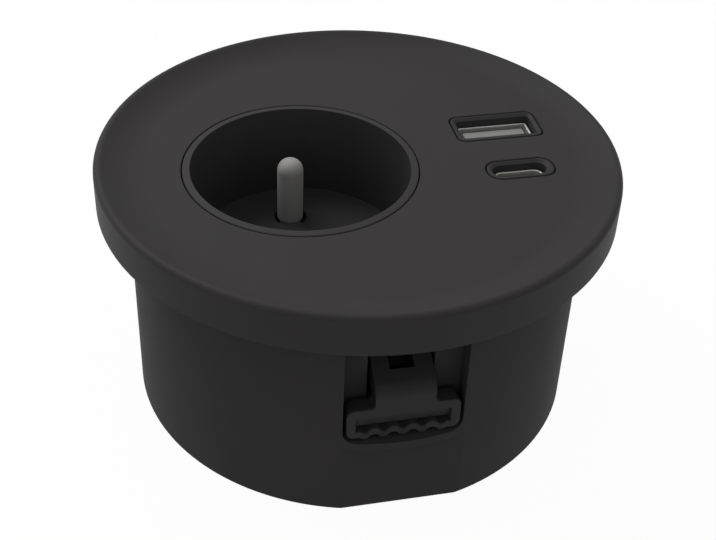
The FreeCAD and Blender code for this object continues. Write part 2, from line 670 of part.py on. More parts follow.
def make_housing():
    """Round body below the desk, with a claw pocket, hinge ears and a flat on the front and the back."""
    body = new_body("housing")
    depth = s.body_height
    pad(body, circles(new_sketch(body, height=-depth), s.body_radius, [(0, 0)]), depth)
    bore = circles(new_sketch(body, height=INSIDE), body_bore, [(0, 0)])
    pocket(body, bore, depth + INSIDE * 2)
    skin = s.body_radius - s.wall / 2

    def wall_block(half_width, inner, low, high):
        """A block that grows inwards from the round wall on the front side."""
        edge = chord_x(skin, half_width)
        sketch = new_sketch(body, height=low)
        outline(sketch, [(half_width, -edge), (half_width, -inner), (-half_width, -inner),
                         (-half_width, -edge, skin)])
        return pad(body, sketch, high - low)

    box = wall_block(pocket_half_width + s.pocket_wall, pocket_back - s.pocket_wall,
                     -pocket_drop - s.pocket_floor, 0)
    thick = wall_block(flat_half_width, flat_place - s.flat_wall, cover_floor,
                       -pocket_drop - s.pocket_floor)
    beyond = s.body_radius + INSIDE
    flat_sketch = new_sketch(body, height=-depth)
    box_outline(flat_sketch, -flat_half_width, flat_half_width, -beyond, -flat_place)
    flat_cut = pocket(body, flat_sketch, depth - s.flat_top, back=True)

    half, corner = pocket_half_width, s.pocket_corner
    mouth = outline(new_sketch(body, "XZ_Plane", pocket_back), [
        (-half + corner, -pocket_drop), (half - corner, -pocket_drop, corner),
        (half, -pocket_drop + corner), (half, INSIDE), (-half, INSIDE),
        (-half, -pocket_drop + corner, corner),
    ])
    cavity = pocket(body, mouth, beyond - pocket_back, back=True)
    slot_sketch = new_sketch(body, "XZ_Plane", pocket_back + INSIDE)
    box_outline(slot_sketch, -slot_half_width, slot_half_width, -s.slot_bottom, -s.slot_top)
    slot = pocket(body, slot_sketch, s.pocket_wall + INSIDE * 2)

    features = [box, thick, flat_cut, cavity, slot]
    ear_end = ear_inner + s.ear_half_height
    low, high = hinge_z - s.ear_half_height, hinge_z + s.ear_half_height
    root_y = -pocket_back + s.pocket_wall / 2
    for offset in (slot_half_width, -slot_half_width - s.ear_thickness):
        ear = outline(new_sketch(body, "YZ_Plane", offset), [
            (root_y, low), (-ear_end, low, s.ear_half_height), (-ear_inner, hinge_z, s.ear_half_height),
            (-ear_end, high), (root_y, high),
        ])
        features.append(pad(body, ear, s.ear_thickness))
    pin_hole = circles(new_sketch(body, "YZ_Plane"), s.hinge_pin_radius + s.seat_gap,
                       [(-hinge_place, hinge_z)])
    reach = (slot_half_width + s.ear_thickness + INSIDE) * 2
    features.append(pocket(body, pin_hole, reach, both=True))
    leaf_y = hinge_place - s.knuckle_radius - s.leaf_spring_gap
    leaf_sketch = new_sketch(body, height=high)
    grip = leaf_spring_half_width + s.leaf_fit
    box_outline(leaf_sketch, -grip, grip, -leaf_y - s.leaf_fit,
                -leaf_y + s.leaf_spring_thickness + s.leaf_fit)
    features.append(pocket(body, leaf_sketch, s.ear_half_height * 2 - s.leaf_spring_shelf))
    mirror(body, features, "XZ_Plane")

    posts = circles(new_sketch(body, height=cover_floor), s.boss_radius, four_ways(column_x, column_y))
    pad(body, posts, -cover_floor)
    near, far = column_radius + s.boss_radius / 2, skin
    rib_top = -s.spigot_height - s.slide_gap
    for sign_x, sign_y in ((1, 1), (-1, 1), (-1, -1), (1, -1)):
        ends = []
        for distance, side in ((near, -1), (far, -1), (far, 1), (near, 1)):
            turn_x, turn_y = cosine(s.column_angle) * sign_x, sine(s.column_angle) * sign_y
            shift = s.column_rib / 2 * side
            ends.append((distance * turn_x - shift * turn_y, distance * turn_y + shift * turn_x))
        pad(body, outline(new_sketch(body, height=cover_floor), ends), rib_top - cover_floor)
    through = circles(new_sketch(body, height=INSIDE), s.long_screw_radius + s.hole_gap,
                      four_ways(column_x, column_y))
    pocket(body, through, depth + INSIDE * 2)
    return body


def cable_groove(sketch, side):
    """V-groove that grips the cable, open towards its middle; side is 1 in the cradle and -1 in the bar."""
    mouth = s.cable_radius + s.grip_mouth
    bottom = s.cable_radius - s.grip_root
    split = s.cable_y + s.clamp_split * side
    deep = s.cable_y + (s.cable_radius + s.grip_play) * side
    open_end = split - INSIDE * side
    return outline(sketch, [(-mouth, split), (-mouth, open_end), (mouth, open_end), (mouth, split),
                            (bottom, deep), (-bottom, deep)])


def make_bottom_cover():
    """Flat bottom cover let into the body, with the cable's hole and the cradle of its clamp."""
    body = new_body("bottom_cover")
    radius = body_bore - s.floor_gap
    side = flat_place - s.flat_wall - s.floor_gap
    edge = chord_x(radius, side)
    disc = outline(new_sketch(body, height=-s.body_height), [
        (edge, -side, radius), (radius, 0, radius), (edge, side), (-edge, side, radius),
        (-radius, 0, radius), (-edge, -side),
    ])
    pad(body, disc, s.floor_thickness)
    places = four_ways(column_x, column_y)
    sunk = circles(new_sketch(body, height=-s.body_height), s.long_head_radius + s.hole_gap, places)
    pocket(body, sunk, s.long_head_height + s.thread_gap, back=True)
    through = circles(new_sketch(body, height=cover_floor + INSIDE), s.long_screw_radius + s.hole_gap, places)
    pocket(body, through, s.floor_thickness + INSIDE * 2)
    inlet = [(0, s.cable_y)]
    recess = circles(new_sketch(body, height=-s.body_height), bush_flange_radius + s.bush_gap, inlet)
    pocket(body, recess, s.bush_flange_height + s.bush_gap, back=True)
    hole = circles(new_sketch(body, height=cover_floor + INSIDE), bush_neck_radius + s.bush_gap, inlet)
    pocket(body, hole, s.floor_thickness + INSIDE * 2)
    half = cradle_half_width
    block = new_sketch(body, height=cover_floor)
    box_outline(block, -half, half, cradle_front, cradle_back)
    pad(body, block, s.cradle_height)
    flange_top = cover_floor + s.bush_inner_height + s.bush_gap
    sleeve_top = flange_top + s.bush_sleeve
    cradle_top = cover_floor + s.cradle_height
    for low, high, radius in ((cover_floor, flange_top, bush_flange_radius),
                              (flange_top, sleeve_top, bush_neck_radius)):
        groove = circles(new_sketch(body, height=low), radius + s.bush_gap, inlet)
        pocket(body, groove, high - low, back=True)
    pocket(body, cable_groove(new_sketch(body, height=cradle_top), 1), s.cradle_height)
    pilots = circles(new_sketch(body, "XZ_Plane", -cradle_front + INSIDE),
                     s.small_screw_radius + s.thread_gap,
                     [(clamp_screw_x, clamp_z), (-clamp_screw_x, clamp_z)])
    pocket(body, pilots, cradle_back - cradle_front + SUNK)
    return body


def make_socket_insert():
    """Round socket well with its flush ring, a shoulder under the plate, plug holes and four fixing lugs."""
    body = new_body("socket_insert", -s.well_offset)
    revolve(body, [
        (0, floor_bottom), (well_outer, floor_bottom), (well_outer, under_plate - s.collar_height),
        (collar_radius, under_plate - s.collar_height), (collar_radius, under_plate),
        (well_outer, under_plate), (well_outer, flat), (s.well_radius, flat),
        (s.well_radius, well_bottom), (0, well_bottom),
    ])
    near = s.well_radius + s.ring_width / 2
    far = lug_reach
    slope = cosine(45)
    ends = []
    for distance, side in ((near, -1), (far, -1), (far, 1), (near, 1)):
        shift = s.lug_radius * side
        ends.append([distance * slope - shift * slope, distance * slope + shift * slope])
    tip = ((far + s.lug_radius) * slope, (far + s.lug_radius) * slope, s.lug_radius)
    corners = [tuple(ends[0]), (ends[1][0], ends[1][1], s.lug_radius), tip, tuple(ends[2]), tuple(ends[3])]
    lug = pad(body, outline(new_sketch(body, height=lug_bottom), corners), s.lug_thickness)
    hole = circles(new_sketch(body, height=lug_top + INSIDE), s.small_screw_radius + s.hole_gap,
                   [(lug_x, lug_x)])
    screw_hole = pocket(body, hole, s.lug_thickness + INSIDE * 2)
    repeat(body, [lug, screw_hole], 4)
    plug_holes = [(half_spacing, 0), (-half_spacing, 0)]
    pocket(body, circles(new_sketch(body, height=well_bottom + INSIDE), s.plug_hole_radius, plug_holes),
           s.well_floor + INSIDE * 2)
    earth = circles(new_sketch(body, height=well_bottom + INSIDE), s.earth_radius + s.earth_gap,
                    [(0, s.earth_offset)])
    pocket(body, earth, s.well_floor + INSIDE * 2)
    pilots = circles(new_sketch(body, height=floor_bottom), s.small_screw_radius + s.thread_gap,
                     carrier_screws_at)
    pocket(body, pilots, s.well_floor - s.pilot_roof + s.thread_gap, back=True)
    return body


def make_earth_pin():
    """Earth pin with a domed top, a shoulder under the well's floor and a riveted lower end."""
    body = new_body("earth_pin", -s.well_offset, s.earth_offset)
    top = well_bottom + s.earth_rise
    shoulder = floor_bottom - s.earth_foot_height
    plate = carrier_bottom - strap_thickness
    radius = s.earth_radius
    revolve(body, [
        (0, plate - s.rivet_height), (rivet_radius, plate - s.rivet_height), (rivet_radius, plate),
        (earth_shank_radius, plate), (earth_shank_radius, shoulder),
        (earth_foot_radius, shoulder), (earth_foot_radius, floor_bottom),
        (radius, floor_bottom), (radius, top - radius, radius), (0, top),
    ])
    return body


def make_contact_carrier():
    """Moulded block under the well that holds the contacts and guides the shutter."""
    body = new_body("contact_carrier", -s.well_offset)
    depth = s.carrier_front + s.carrier_back
    middle = (s.carrier_back - s.carrier_front) / 2
    block = rounded_outline(new_sketch(body, height=carrier_bottom), 0, middle, carrier_length, depth,
                            s.carrier_corner)
    pad(body, block, s.carrier_height)
    side = half_spacing + s.shutter_margin + s.slide_gap * 2
    inner = half_spacing - s.shutter_margin - s.slide_gap
    front = s.shutter_front + s.shutter_travel + s.slide_gap
    back = shutter_back + s.slide_gap
    bridge = shutter_bridge + s.slide_gap
    recess = outline(new_sketch(body, height=floor_bottom), [
        (-side, -front), (side, -front), (side, back), (inner, back), (inner, bridge),
        (-inner, bridge), (-inner, back), (-side, back),
    ])
    deep = floor_bottom - recess_floor
    pocket(body, recess, deep)
    channel = s.spring_half_width + s.slide_gap
    end = s.shutter_front + s.spring_length + s.slide_gap
    pocket(body, box_outline(new_sketch(body, height=floor_bottom), -channel, channel, -end, -front + INSIDE),
           deep)
    foot = circles(new_sketch(body, height=floor_bottom), earth_foot_radius + s.hole_gap,
                   [(0, s.earth_offset)])
    pocket(body, foot, s.earth_foot_height)
    shank = circles(new_sketch(body, height=floor_bottom), earth_shank_radius + s.thread_gap,
                    [(0, s.earth_offset)])
    pocket(body, shank, s.carrier_height + INSIDE)
    chamber_floor = carrier_bottom + s.carrier_base
    for x in (half_spacing, -half_spacing):
        chamber = rounded_outline(new_sketch(body, height=recess_floor + SUNK), x, 0,
                                  chamber_length, chamber_width, s.leaf_thickness)
        pocket(body, chamber, recess_floor - chamber_floor + SUNK)
        stem = new_sketch(body, height=chamber_floor + SUNK)
        gap = s.hole_gap
        box_outline(stem, x - s.leaf_thickness / 2 - gap, x + s.leaf_thickness / 2 + gap,
                    -s.leaf_width / 2 - gap, s.leaf_width / 2 + gap)
        pocket(body, stem, s.carrier_base + INSIDE)
    outer = half_spacing + s.terminal_place
    terminals = circles(new_sketch(body, height=carrier_bottom), s.terminal_radius + s.thread_gap,
                        [(outer, 0), (-outer, 0), (-s.strap_terminal, s.earth_offset)])
    pocket(body, terminals, s.terminal_length - s.leaf_thickness + s.thread_gap, back=True)
    through = circles(new_sketch(body, height=floor_bottom + INSIDE), s.small_screw_radius + s.hole_gap,
                      carrier_screws_at)
    pocket(body, through, s.carrier_height + INSIDE * 2)
    sunk = circles(new_sketch(body, height=carrier_bottom), s.small_head_radius + s.hole_gap,
                   carrier_screws_at)
    pocket(body, sunk, carrier_screw_sink, back=True)
    return body


def make_socket_shutter():
    """Safety shutter: a bridge that covers both plug holes, and arms whose holes line up when it slides."""
    body = new_body("socket_shutter", -s.well_offset)
    side = half_spacing + s.shutter_margin + s.slide_gap
    inner = half_spacing - s.shutter_margin
    low = shutter_top - s.shutter_thickness
    plate = outline(new_sketch(body, height=low), [
        (-side, -s.shutter_front), (side, -s.shutter_front), (side, shutter_back), (inner, shutter_back),
        (inner, shutter_bridge), (-inner, shutter_bridge), (-inner, shutter_back), (-side, shutter_back),
    ])
    pad(body, plate, s.shutter_thickness)
    holes = circles(new_sketch(body, height=shutter_top + INSIDE), s.plug_hole_radius + s.shutter_hole_gap,
                    [(half_spacing, s.shutter_travel), (-half_spacing, s.shutter_travel)])
    pocket(body, holes, s.shutter_thickness + INSIDE * 2)
    for x in (half_spacing, -half_spacing):
        wedge = outline(new_sketch(body, "YZ_Plane", x), [
            (-s.plug_hole_radius, shutter_top), (shutter_bridge + SUNK, shutter_top - s.shutter_ramp),
            (shutter_bridge + SUNK, shutter_top + SUNK),
            (-s.plug_hole_radius, shutter_top + SUNK),
        ])
        pocket(body, wedge, s.plug_hole_radius * 2, both=True)
    return body


def spring_bar(name, left, right, near, far):
    """One straight stretch of the spring's strip, between its sides along X and its ends along Y."""
    bar = doc.addObject("Part::Box", name)
    bind(bar, "Length", right - left)
    bind(bar, "Width", near - far)
    bind(bar, "Height", s.shutter_thickness - s.slide_gap * 2)
    return place(bar, left - s.well_offset, far, shutter_top - s.shutter_thickness + s.slide_gap)


def make_shutter_spring():
    """Return spring of the shutter: one strip folded to and fro between the shutter and its channel's end."""
    half, strip = s.spring_half_width, s.spring_strip
    pitch = (s.spring_length - strip) / SPRING_FOLDS
    bars = []
    for fold in range(SPRING_FOLDS + 1):
        near = -s.shutter_front - pitch * fold
        bars.append(spring_bar("spring_run_%d" % fold, -half, half, near, near - strip))
        if fold < SPRING_FOLDS:
            left, right = (half - strip, half) if fold % 2 else (-half, strip - half)
            bars.append(spring_bar("spring_turn_%d" % fold, left, right, near, near - strip - pitch))
    spring = doc.addObject("Part::MultiFuse", "shutter_spring")
    spring.Shapes = bars
    return spring


def make_contact(name, side):
    """Mains contact: two sprung leaves that grip a plug pin, and a tail that lies under the carrier."""
    body = new_body(name, half_spacing * side - s.well_offset)
    thick = s.leaf_thickness
    mouth_z = recess_floor - s.hole_gap
    foot_z = carrier_bottom + s.carrier_base + s.hole_gap
    pinch_z = mouth_z - (mouth_z - foot_z) * s.pinch_share
    pinch, mouth, foot = s.leaf_pinch, s.leaf_mouth, s.leaf_foot
    stem = thick / 2
    tail = [(stem, foot_z), (stem, carrier_bottom - thick), (-s.tail_length, carrier_bottom - thick),
            (-s.tail_length, carrier_bottom), (-stem, carrier_bottom), (-stem, foot_z)]
    if side > 0:
        tail = [(-x, z) for x, z in reversed(tail)]
    outside = [(-foot - thick, foot_z), (-pinch - thick, pinch_z), (-mouth - thick, mouth_z)]
    inside = [(-mouth, mouth_z), (-pinch, pinch_z), (-foot, foot_z + thick)]
    right = [(-x, z) for x, z in reversed(outside + inside)]
    profile = outline(new_sketch(body, "XZ_Plane"), tail + outside + inside + right)
    pad(body, profile, s.leaf_width, both=True)
    hole = circles(new_sketch(body, height=carrier_bottom + INSIDE), s.terminal_radius + s.hole_gap,
                   [(s.terminal_place * side, 0)])
    pocket(body, hole, thick + INSIDE * 2)
    return body


def make_earth_strap():
    """Flat strap under the carrier from the earth pin's rivet to its terminal screw."""
    body = new_body("earth_strap", -s.well_offset, s.earth_offset)
    half = strap_half_width
    sketch = outline(new_sketch(body, height=carrier_bottom - strap_thickness), [
        (-s.strap_reach + half, -half), (strap_back, -half), (strap_back, half),
        (-s.strap_reach + half, half, half), (-s.strap_reach, 0, half),
    ])
    pad(body, sketch, strap_thickness)
    rivet = circles(new_sketch(body, height=carrier_bottom + INSIDE), earth_shank_radius + s.thread_gap,
                    [(0, 0)])
    pocket(body, rivet, strap_thickness + INSIDE * 2)
    hole = circles(new_sketch(body, height=carrier_bottom + INSIDE), s.terminal_radius + s.hole_gap,
                   [(-s.strap_terminal, 0)])
    pocket(body, hole, strap_thickness + INSIDE * 2)
    return body


def make_terminal_screws():
    """Three clamping screws for the mains leads."""
    outer = half_spacing + s.terminal_place
    places = [(outer, 0), (-outer, 0), (-s.strap_terminal, s.earth_offset)]
    head_z = carrier_bottom - strap_thickness - s.terminal_head_height
    return group("terminal_screws", [
        screw("terminal_screw_%d" % number, s.terminal_radius, s.terminal_length, s.terminal_head_radius,
              s.terminal_head_height, x - s.well_offset, y, head_z)
        for number, (x, y) in enumerate(places, start=1)
    ])


def make_small_screws(name, places, head_z):
    """Small screws driven upwards at several places."""
    return group(name, [
        screw("%s_%d" % (name, number), s.small_screw_radius, s.small_screw_length, s.small_head_radius,
              s.small_head_height, x, y, head_z)
        for number, (x, y) in enumerate(places, start=1)
    ])


def make_cover_screws():
    """Four long screws from the bottom cover through the columns into the top cover."""
    length = s.long_screw_top + s.body_height - s.long_head_height
    return group("cover_screws", [
        screw("cover_screw_%d" % number, s.long_screw_radius, length, s.long_head_radius,
              s.long_head_height, x, y, -s.body_height)
        for number, (x, y) in enumerate(four_ways(column_x, column_y), start=1)
    ])


def make_usb_module_case():
    """Charging module's case: a roofed box under the plate with a boss for each port, flush with the plate."""
    body = new_body("usb_module_case")

    def d_shape(sketch, inset):
        """The case's outline: straight on three sides and round where it follows the body."""
        radius = case_radius - inset
        left, front, back = case_left + inset, -case_front + inset, case_back - inset
        return outline(sketch, [(left, front), (chord_x(radius, front), front, radius),
                                (chord_x(radius, back), back), (left, back)])

    pad(body, d_shape(new_sketch(body, height=board_top), 0), s.case_drop + under_plate)
    lug_root = case_back - s.case_wall / 2
    for side in (1, -1):
        near = lug_root if side > 0 else -case_front + s.case_wall / 2
        far = s.case_lug_y * side
        tip = (s.lug_radius + s.case_lug_y) * side
        turn = s.lug_radius if side > 0 else -s.lug_radius
        lug = outline(new_sketch(body, height=lug_bottom), [
            (s.port_x + s.lug_radius, near), (s.port_x + s.lug_radius, far, turn), (s.port_x, tip, turn),
            (s.port_x - s.lug_radius, far), (s.port_x - s.lug_radius, near),
        ])
        pad(body, lug, s.lug_thickness)
    holes = circles(new_sketch(body, height=lug_top + INSIDE), s.small_screw_radius + s.hole_gap,
                    [(s.port_x, s.case_lug_y), (s.port_x, -s.case_lug_y)])
    pocket(body, holes, s.lug_thickness + INSIDE * 2)
    hollow = d_shape(new_sketch(body, height=board_top), s.case_wall)
    pocket(body, hollow, s.case_drop + under_plate - s.case_roof, back=True)
    boss_a = rounded_outline(new_sketch(body, height=under_plate - SUNK), s.port_x, s.port_a_y,
                             s.port_a_length, s.port_a_width, s.port_a_corner)
    pad(body, boss_a, s.plate_thickness + SUNK)
    boss_c = rounded_outline(new_sketch(body, height=under_plate - SUNK), s.port_x, s.port_c_y,
                             s.port_c_length, s.port_c_width, s.port_c_corner)
    pad(body, boss_c, s.plate_thickness + SUNK)
    gap = s.shell_gap * 2
    through = s.plate_thickness + s.case_roof + INSIDE * 2
    hole_a = rounded_outline(new_sketch(body, height=flat + INSIDE), s.port_x, s.port_a_y,
                             s.shell_a_length + gap, s.shell_a_width + gap, s.shell_a_corner)
    # The wide shell's corner reaches into the round wall, so its hole runs down past it
    pocket(body, hole_a, s.case_drop + flat + INSIDE * 2)
    hole_c = stadium_outline(new_sketch(body, height=flat + INSIDE), s.port_x, s.port_c_y,
                             s.shell_c_length + gap, s.shell_c_width + gap)
    pocket(body, hole_c, through)
    slope = s.lip_slope_width * 2 + gap
    sloped_cut(body, rounded_outline(new_sketch(body, height=flat), s.port_x, s.port_a_y,
                                     s.shell_a_length + slope, s.shell_a_width + slope,
                                     s.shell_a_corner + s.lip_slope_width),
               rounded_outline(new_sketch(body, height=flat - s.lip_slope_depth), s.port_x, s.port_a_y,
                               s.shell_a_length + gap, s.shell_a_width + gap, s.shell_a_corner))
    sloped_cut(body, stadium_outline(new_sketch(body, height=flat), s.port_x, s.port_c_y,
                                     s.shell_c_length + slope, s.shell_c_width + slope),
               stadium_outline(new_sketch(body, height=flat - s.lip_slope_depth), s.port_x, s.port_c_y,
                               s.shell_c_length + gap, s.shell_c_width + gap))
    return body


def make_usb_shells():
    """Sheet-metal shells of the two ports, open at the top, standing on the circuit board."""
    top = flat - s.shell_recess
    height = s.case_drop + top
    wall = s.shell_wall
    wide = new_body("usb_a_shell", s.port_x, s.port_a_y)
    pad(wide, rounded_outline(new_sketch(wide, height=board_top), 0, 0, s.shell_a_length,
                              s.shell_a_width, s.shell_a_corner), height)
    pocket(wide, rounded_outline(new_sketch(wide, height=top + INSIDE), 0, 0, s.shell_a_length - wall * 2,
                                 s.shell_a_width - wall * 2, s.shell_a_corner - wall / 2),
           height + INSIDE * 2)
    narrow = new_body("usb_c_shell", s.port_x, s.port_c_y)
    pad(narrow, stadium_outline(new_sketch(narrow, height=board_top), 0, 0, s.shell_c_length,
                                s.shell_c_width), height)
    pocket(narrow, stadium_outline(new_sketch(narrow, height=top + INSIDE), 0, 0,
                                   s.shell_c_length - wall * 2, s.shell_c_width - wall * 2),
           height + INSIDE * 2)
    return [wide, narrow]


def make_usb_tongues():
    """Moulded inserts of the two ports: a block at the bottom with the contact tongue standing on it."""
    tip = flat - s.shell_recess - s.tongue_recess
    rise = s.tongue_block_height
    fit = s.shell_wall + s.shell_gap
    wide = new_body("usb_a_tongue", s.port_x, s.port_a_y)
    pad(wide, rounded_outline(new_sketch(wide, height=board_top), 0, 0, s.shell_a_length - fit * 2,
                              s.shell_a_width - fit * 2, s.shell_wall), rise)
    tongue_a = rounded_outline(new_sketch(wide, height=board_top + rise / 2), 0, s.tongue_a_shift,
                               s.tongue_a_length, s.tongue_a_width, s.shell_wall)
    pad(wide, tongue_a, tip - board_top - rise / 2)
    narrow = new_body("usb_c_tongue", s.port_x, s.port_c_y)
    pad(narrow, stadium_outline(new_sketch(narrow, height=board_top), 0, 0, s.shell_c_length - fit * 2,
                                s.shell_c_width - fit * 2), rise)
    tongue_c = rounded_outline(new_sketch(narrow, height=board_top + rise / 2), 0, 0, s.tongue_c_length,
                               s.tongue_c_width, s.tongue_c_width / 4)
    pad(narrow, tongue_c, tip - board_top - rise / 2)
    return [wide, narrow]


def make_charger_board():
    """Circuit board of the charger, straight on three sides and round beside the wall."""
    body = new_body("charger_board")
    half = s.board_half_width
    edge = chord_x(board_radius, half)
    sketch = outline(new_sketch(body, height=board_bottom), [
        (board_left, -half), (edge, -half, board_radius), (edge, half), (board_left, half),
    ])
    pad(body, sketch, s.board_thickness)
    return body


def make_transformer():
    """Ferrite core with two windows, and the winding that fills them."""
    core = new_body("transformer_core", s.core_x, s.core_y)
    frame = new_sketch(core, "XZ_Plane", -s.core_width / 2)
    box_outline(frame, -s.core_length / 2, s.core_length / 2, board_bottom - s.core_height, board_bottom)
    pad(core, frame, s.core_width)
    low = board_bottom - s.core_height + s.core_leg
    for side in (1, -1):
        inner = s.core_leg / 2
        outer = s.core_length / 2 - s.core_leg
        window = new_sketch(core, "XZ_Plane", s.core_width / 2 + INSIDE)
        edges = (inner, outer) if side > 0 else (-outer, -inner)
        box_outline(window, edges[0], edges[1], low, board_bottom - s.core_leg)
        pocket(core, window, s.core_width + INSIDE * 2)
    coil = new_body("transformer_coil", s.core_x, s.core_y)
    middle = (low + board_bottom - s.core_leg) / 2
    sketch = rounded_outline(new_sketch(coil, height=middle - s.coil_height / 2), 0, 0, s.coil_length,
                             s.coil_width, s.core_leg / 2)
    pad(coil, sketch, s.coil_height)
    leg = new_sketch(coil, height=middle + s.coil_height / 2 + INSIDE)
    gap = s.thread_gap
    box_outline(leg, -s.core_leg / 2 - gap, s.core_leg / 2 + gap, -s.core_width / 2 - gap,
                s.core_width / 2 + gap)
    pocket(coil, leg, s.coil_height + INSIDE * 2)
    return [core, coil]


def make_filter_capacitors():
    """Two round capacitors and a film capacitor that hang from the underside of the board."""
    large_z = board_bottom - s.capacitor_height
    small_z = board_bottom - s.capacitor_small_height
    film = doc.addObject("Part::Box", "capacitor_film")
    bind(film, "Length", s.film_length)
    bind(film, "Width", s.film_width)
    bind(film, "Height", s.film_height)
    place(film, s.film_x - s.film_length / 2, s.film_y - s.film_width / 2, board_bottom - s.film_height)
    return group("filter_capacitors", [
        film,
        rod("capacitor_large", s.capacitor_radius, s.capacitor_height, s.core_x - s.core_length / 4,
            -s.core_y, large_z),
        rod("capacitor_small", s.capacitor_small_radius, s.capacitor_small_height,
            s.core_x + s.core_length / 4, -s.core_y - s.capacitor_small_radius, small_z),
    ])


def make_cable_bush():
    """Soft bush in the bottom cover that the mains cable passes through."""
    body = new_body("cable_bush", 0, s.cable_y)
    low = -s.body_height
    seat = low + s.bush_flange_height
    inner = cover_floor
    sleeve = inner + s.bush_inner_height
    revolve(body, [
        (s.cable_radius, low), (bush_flange_radius, low), (bush_flange_radius, seat),
        (bush_neck_radius, seat), (bush_neck_radius, inner), (bush_flange_radius, inner),
        (bush_flange_radius, sleeve), (bush_neck_radius, sleeve),
        (bush_neck_radius, sleeve + s.bush_sleeve), (s.cable_radius, sleeve + s.bush_sleeve),
    ])
    return body


def make_cord_clamp():
    """Bar that presses the cable against the cradle."""
    body = new_body("cord_clamp")
    half = cradle_half_width
    low, high = -clamp_low, -clamp_high
    bar = box_outline(new_sketch(body, height=low), -half, half, clamp_front, clamp_back)
    pad(body, bar, high - low)
    pocket(body, cable_groove(new_sketch(body, height=high + INSIDE), -1), high - low + INSIDE * 2)
    holes = circles(new_sketch(body, "XZ_Plane", -clamp_front + INSIDE), s.small_screw_radius + s.hole_gap,
                    [(clamp_screw_x, clamp_z), (-clamp_screw_x, clamp_z)])
    pocket(body, holes, clamp_back - clamp_front + INSIDE * 2)
    return body


def make_clamp_screws():
    """Two screws that draw the clamp bar to the cradle."""
    return group("clamp_screws", [
        screw("clamp_screw_%d" % number, s.small_screw_radius, s.clamp_screw_length, s.small_head_radius,
              s.small_head_height, clamp_screw_x * side, clamp_front - s.small_head_height, clamp_z,
              Vector(0, 1, 0))
        for number, side in ((1, 1), (2, -1))
    ])


def wave_corners(level, half_width):
    """Corners of a wavy wall from left to right: bumps down at the middle, dents up between them."""
    count = WAVES * 2 + 1
    half_pitch = wave_pitch / 2
    radius = (half_pitch * half_pitch / 4 + s.wave_height * s.wave_height) / (s.wave_height * 2)
    corners = []
    for step in range(count):
        x = half_pitch * (step - count / 2)
        corners.append((x, level, radius if step % 2 == 0 else -radius))
    corners.append((half_pitch * (count / 2), level))
    return corners


def make_claw(name, turn):
    """Swing-out claw: hinge knuckle, leaning neck with a window, and a bar with a wavy finger slot.

    It is drawn on the front side and turned about Z for the back.
    """
    body = new_body(name, turn=turn)
    lean = s.neck_lean
    reach = tangent(lean / 2) * s.neck_bend_radius
    half_thick = s.neck_thickness / 2
    bar_back = claw_face - s.claw_depth
    bend_y = -claw_face
    end_y, end_z = -hinge_place, hinge_z
    under_y = end_y + half_thick * cosine(lean)
    under_z = end_z - half_thick * sine(lean)
    drop = (bar_back + under_y) / sine(lean)
    arm = outline(new_sketch(body, "YZ_Plane"), [
        (-bar_back, -s.claw_top - INSIDE),
        (bend_y, -s.claw_top - INSIDE),
        (bend_y, -s.neck_bend - reach, -s.neck_bend_radius),
        (bend_y + reach * sine(lean), -s.neck_bend + reach * cosine(lean)),
        (end_y - half_thick * cosine(lean), end_z + half_thick * sine(lean)),
        (under_y, under_z),
        (-bar_back, under_z - drop * cosine(lean)),
    ])
    pad(body, arm, s.neck_half_width * 2, both=True)
    knuckle = circles(new_sketch(body, "YZ_Plane"), s.knuckle_radius, [(-hinge_place, hinge_z)])
    pad(body, knuckle, knuckle_half_width * 2, both=True)
    half, corner = s.claw_half_width, s.claw_corner
    bottom, top = -s.claw_bottom, -s.claw_top
    bar = outline(new_sketch(body, "XZ_Plane", claw_face), [(-half + corner, bottom)] + wave_corners(
        bottom, half) + [
        (half - corner, bottom, corner), (half, bottom + corner), (half, top - corner, corner),
        (half - corner, top), (-half + corner, top, corner), (-half, top - corner),
        (-half, bottom + corner, corner),
    ])
    pad(body, bar, s.claw_depth, back=True)
    slot_low = bottom + s.grip_wall
    grip = grip_half_width
    slot = outline(new_sketch(body, "XZ_Plane", claw_face), [(-grip, slot_low)] + wave_corners(
        slot_low, grip) + [(grip, slot_low), (grip, -grip_top), (-grip, -grip_top)])
    pocket(body, slot, s.grip_depth)
    # The slot's back wall leans, so that a finger slides down behind the wavy wall
    back = s.grip_depth - claw_face
    scoop = outline(new_sketch(body, "YZ_Plane"), [
        (s.grip_lead - claw_face, -grip_top), (back, slot_low + s.grip_foot),
        (back + SUNK, slot_low + s.grip_foot), (back + SUNK, SUNK - grip_top),
        (s.grip_lead - claw_face, SUNK - grip_top),
    ])
    pad(body, scoop, (grip + SUNK) * 2, both=True)
    window = box_outline(new_sketch(body), -s.window_half_width, s.window_half_width, -window_outer,
                         -window_inner)
    pocket(body, window, s.window_drop)
    bore = circles(new_sketch(body, "YZ_Plane"), s.hinge_pin_radius + s.hinge_gap, [(-hinge_place, hinge_z)])
    pocket(body, bore, knuckle_half_width * 2 + INSIDE, both=True)
    return body


def make_claw_pin(name, side):
    """Steel hinge pin through the two ears."""
    half = slot_half_width + s.ear_thickness
    pin = rod(name, s.hinge_pin_radius, half * 2, -half, hinge_place * side, hinge_z, Vector(1, 0, 0))
    pin.Label = name
    return pin


def make_claw_spring(name, turn):
    """Steel leaf across the two ears that bears on the knuckle and holds the claw where it is put."""
    body = new_body(name, turn=turn)
    outer = hinge_place - s.knuckle_radius - s.leaf_spring_gap
    low = hinge_z - s.ear_half_height + s.leaf_spring_shelf
    sketch = new_sketch(body, height=low)
    box_outline(sketch, -leaf_spring_half_width, leaf_spring_half_width, -outer,
                -outer + s.leaf_spring_thickness)
    pad(body, sketch, s.ear_half_height * 2 - s.leaf_spring_shelf)
    return body


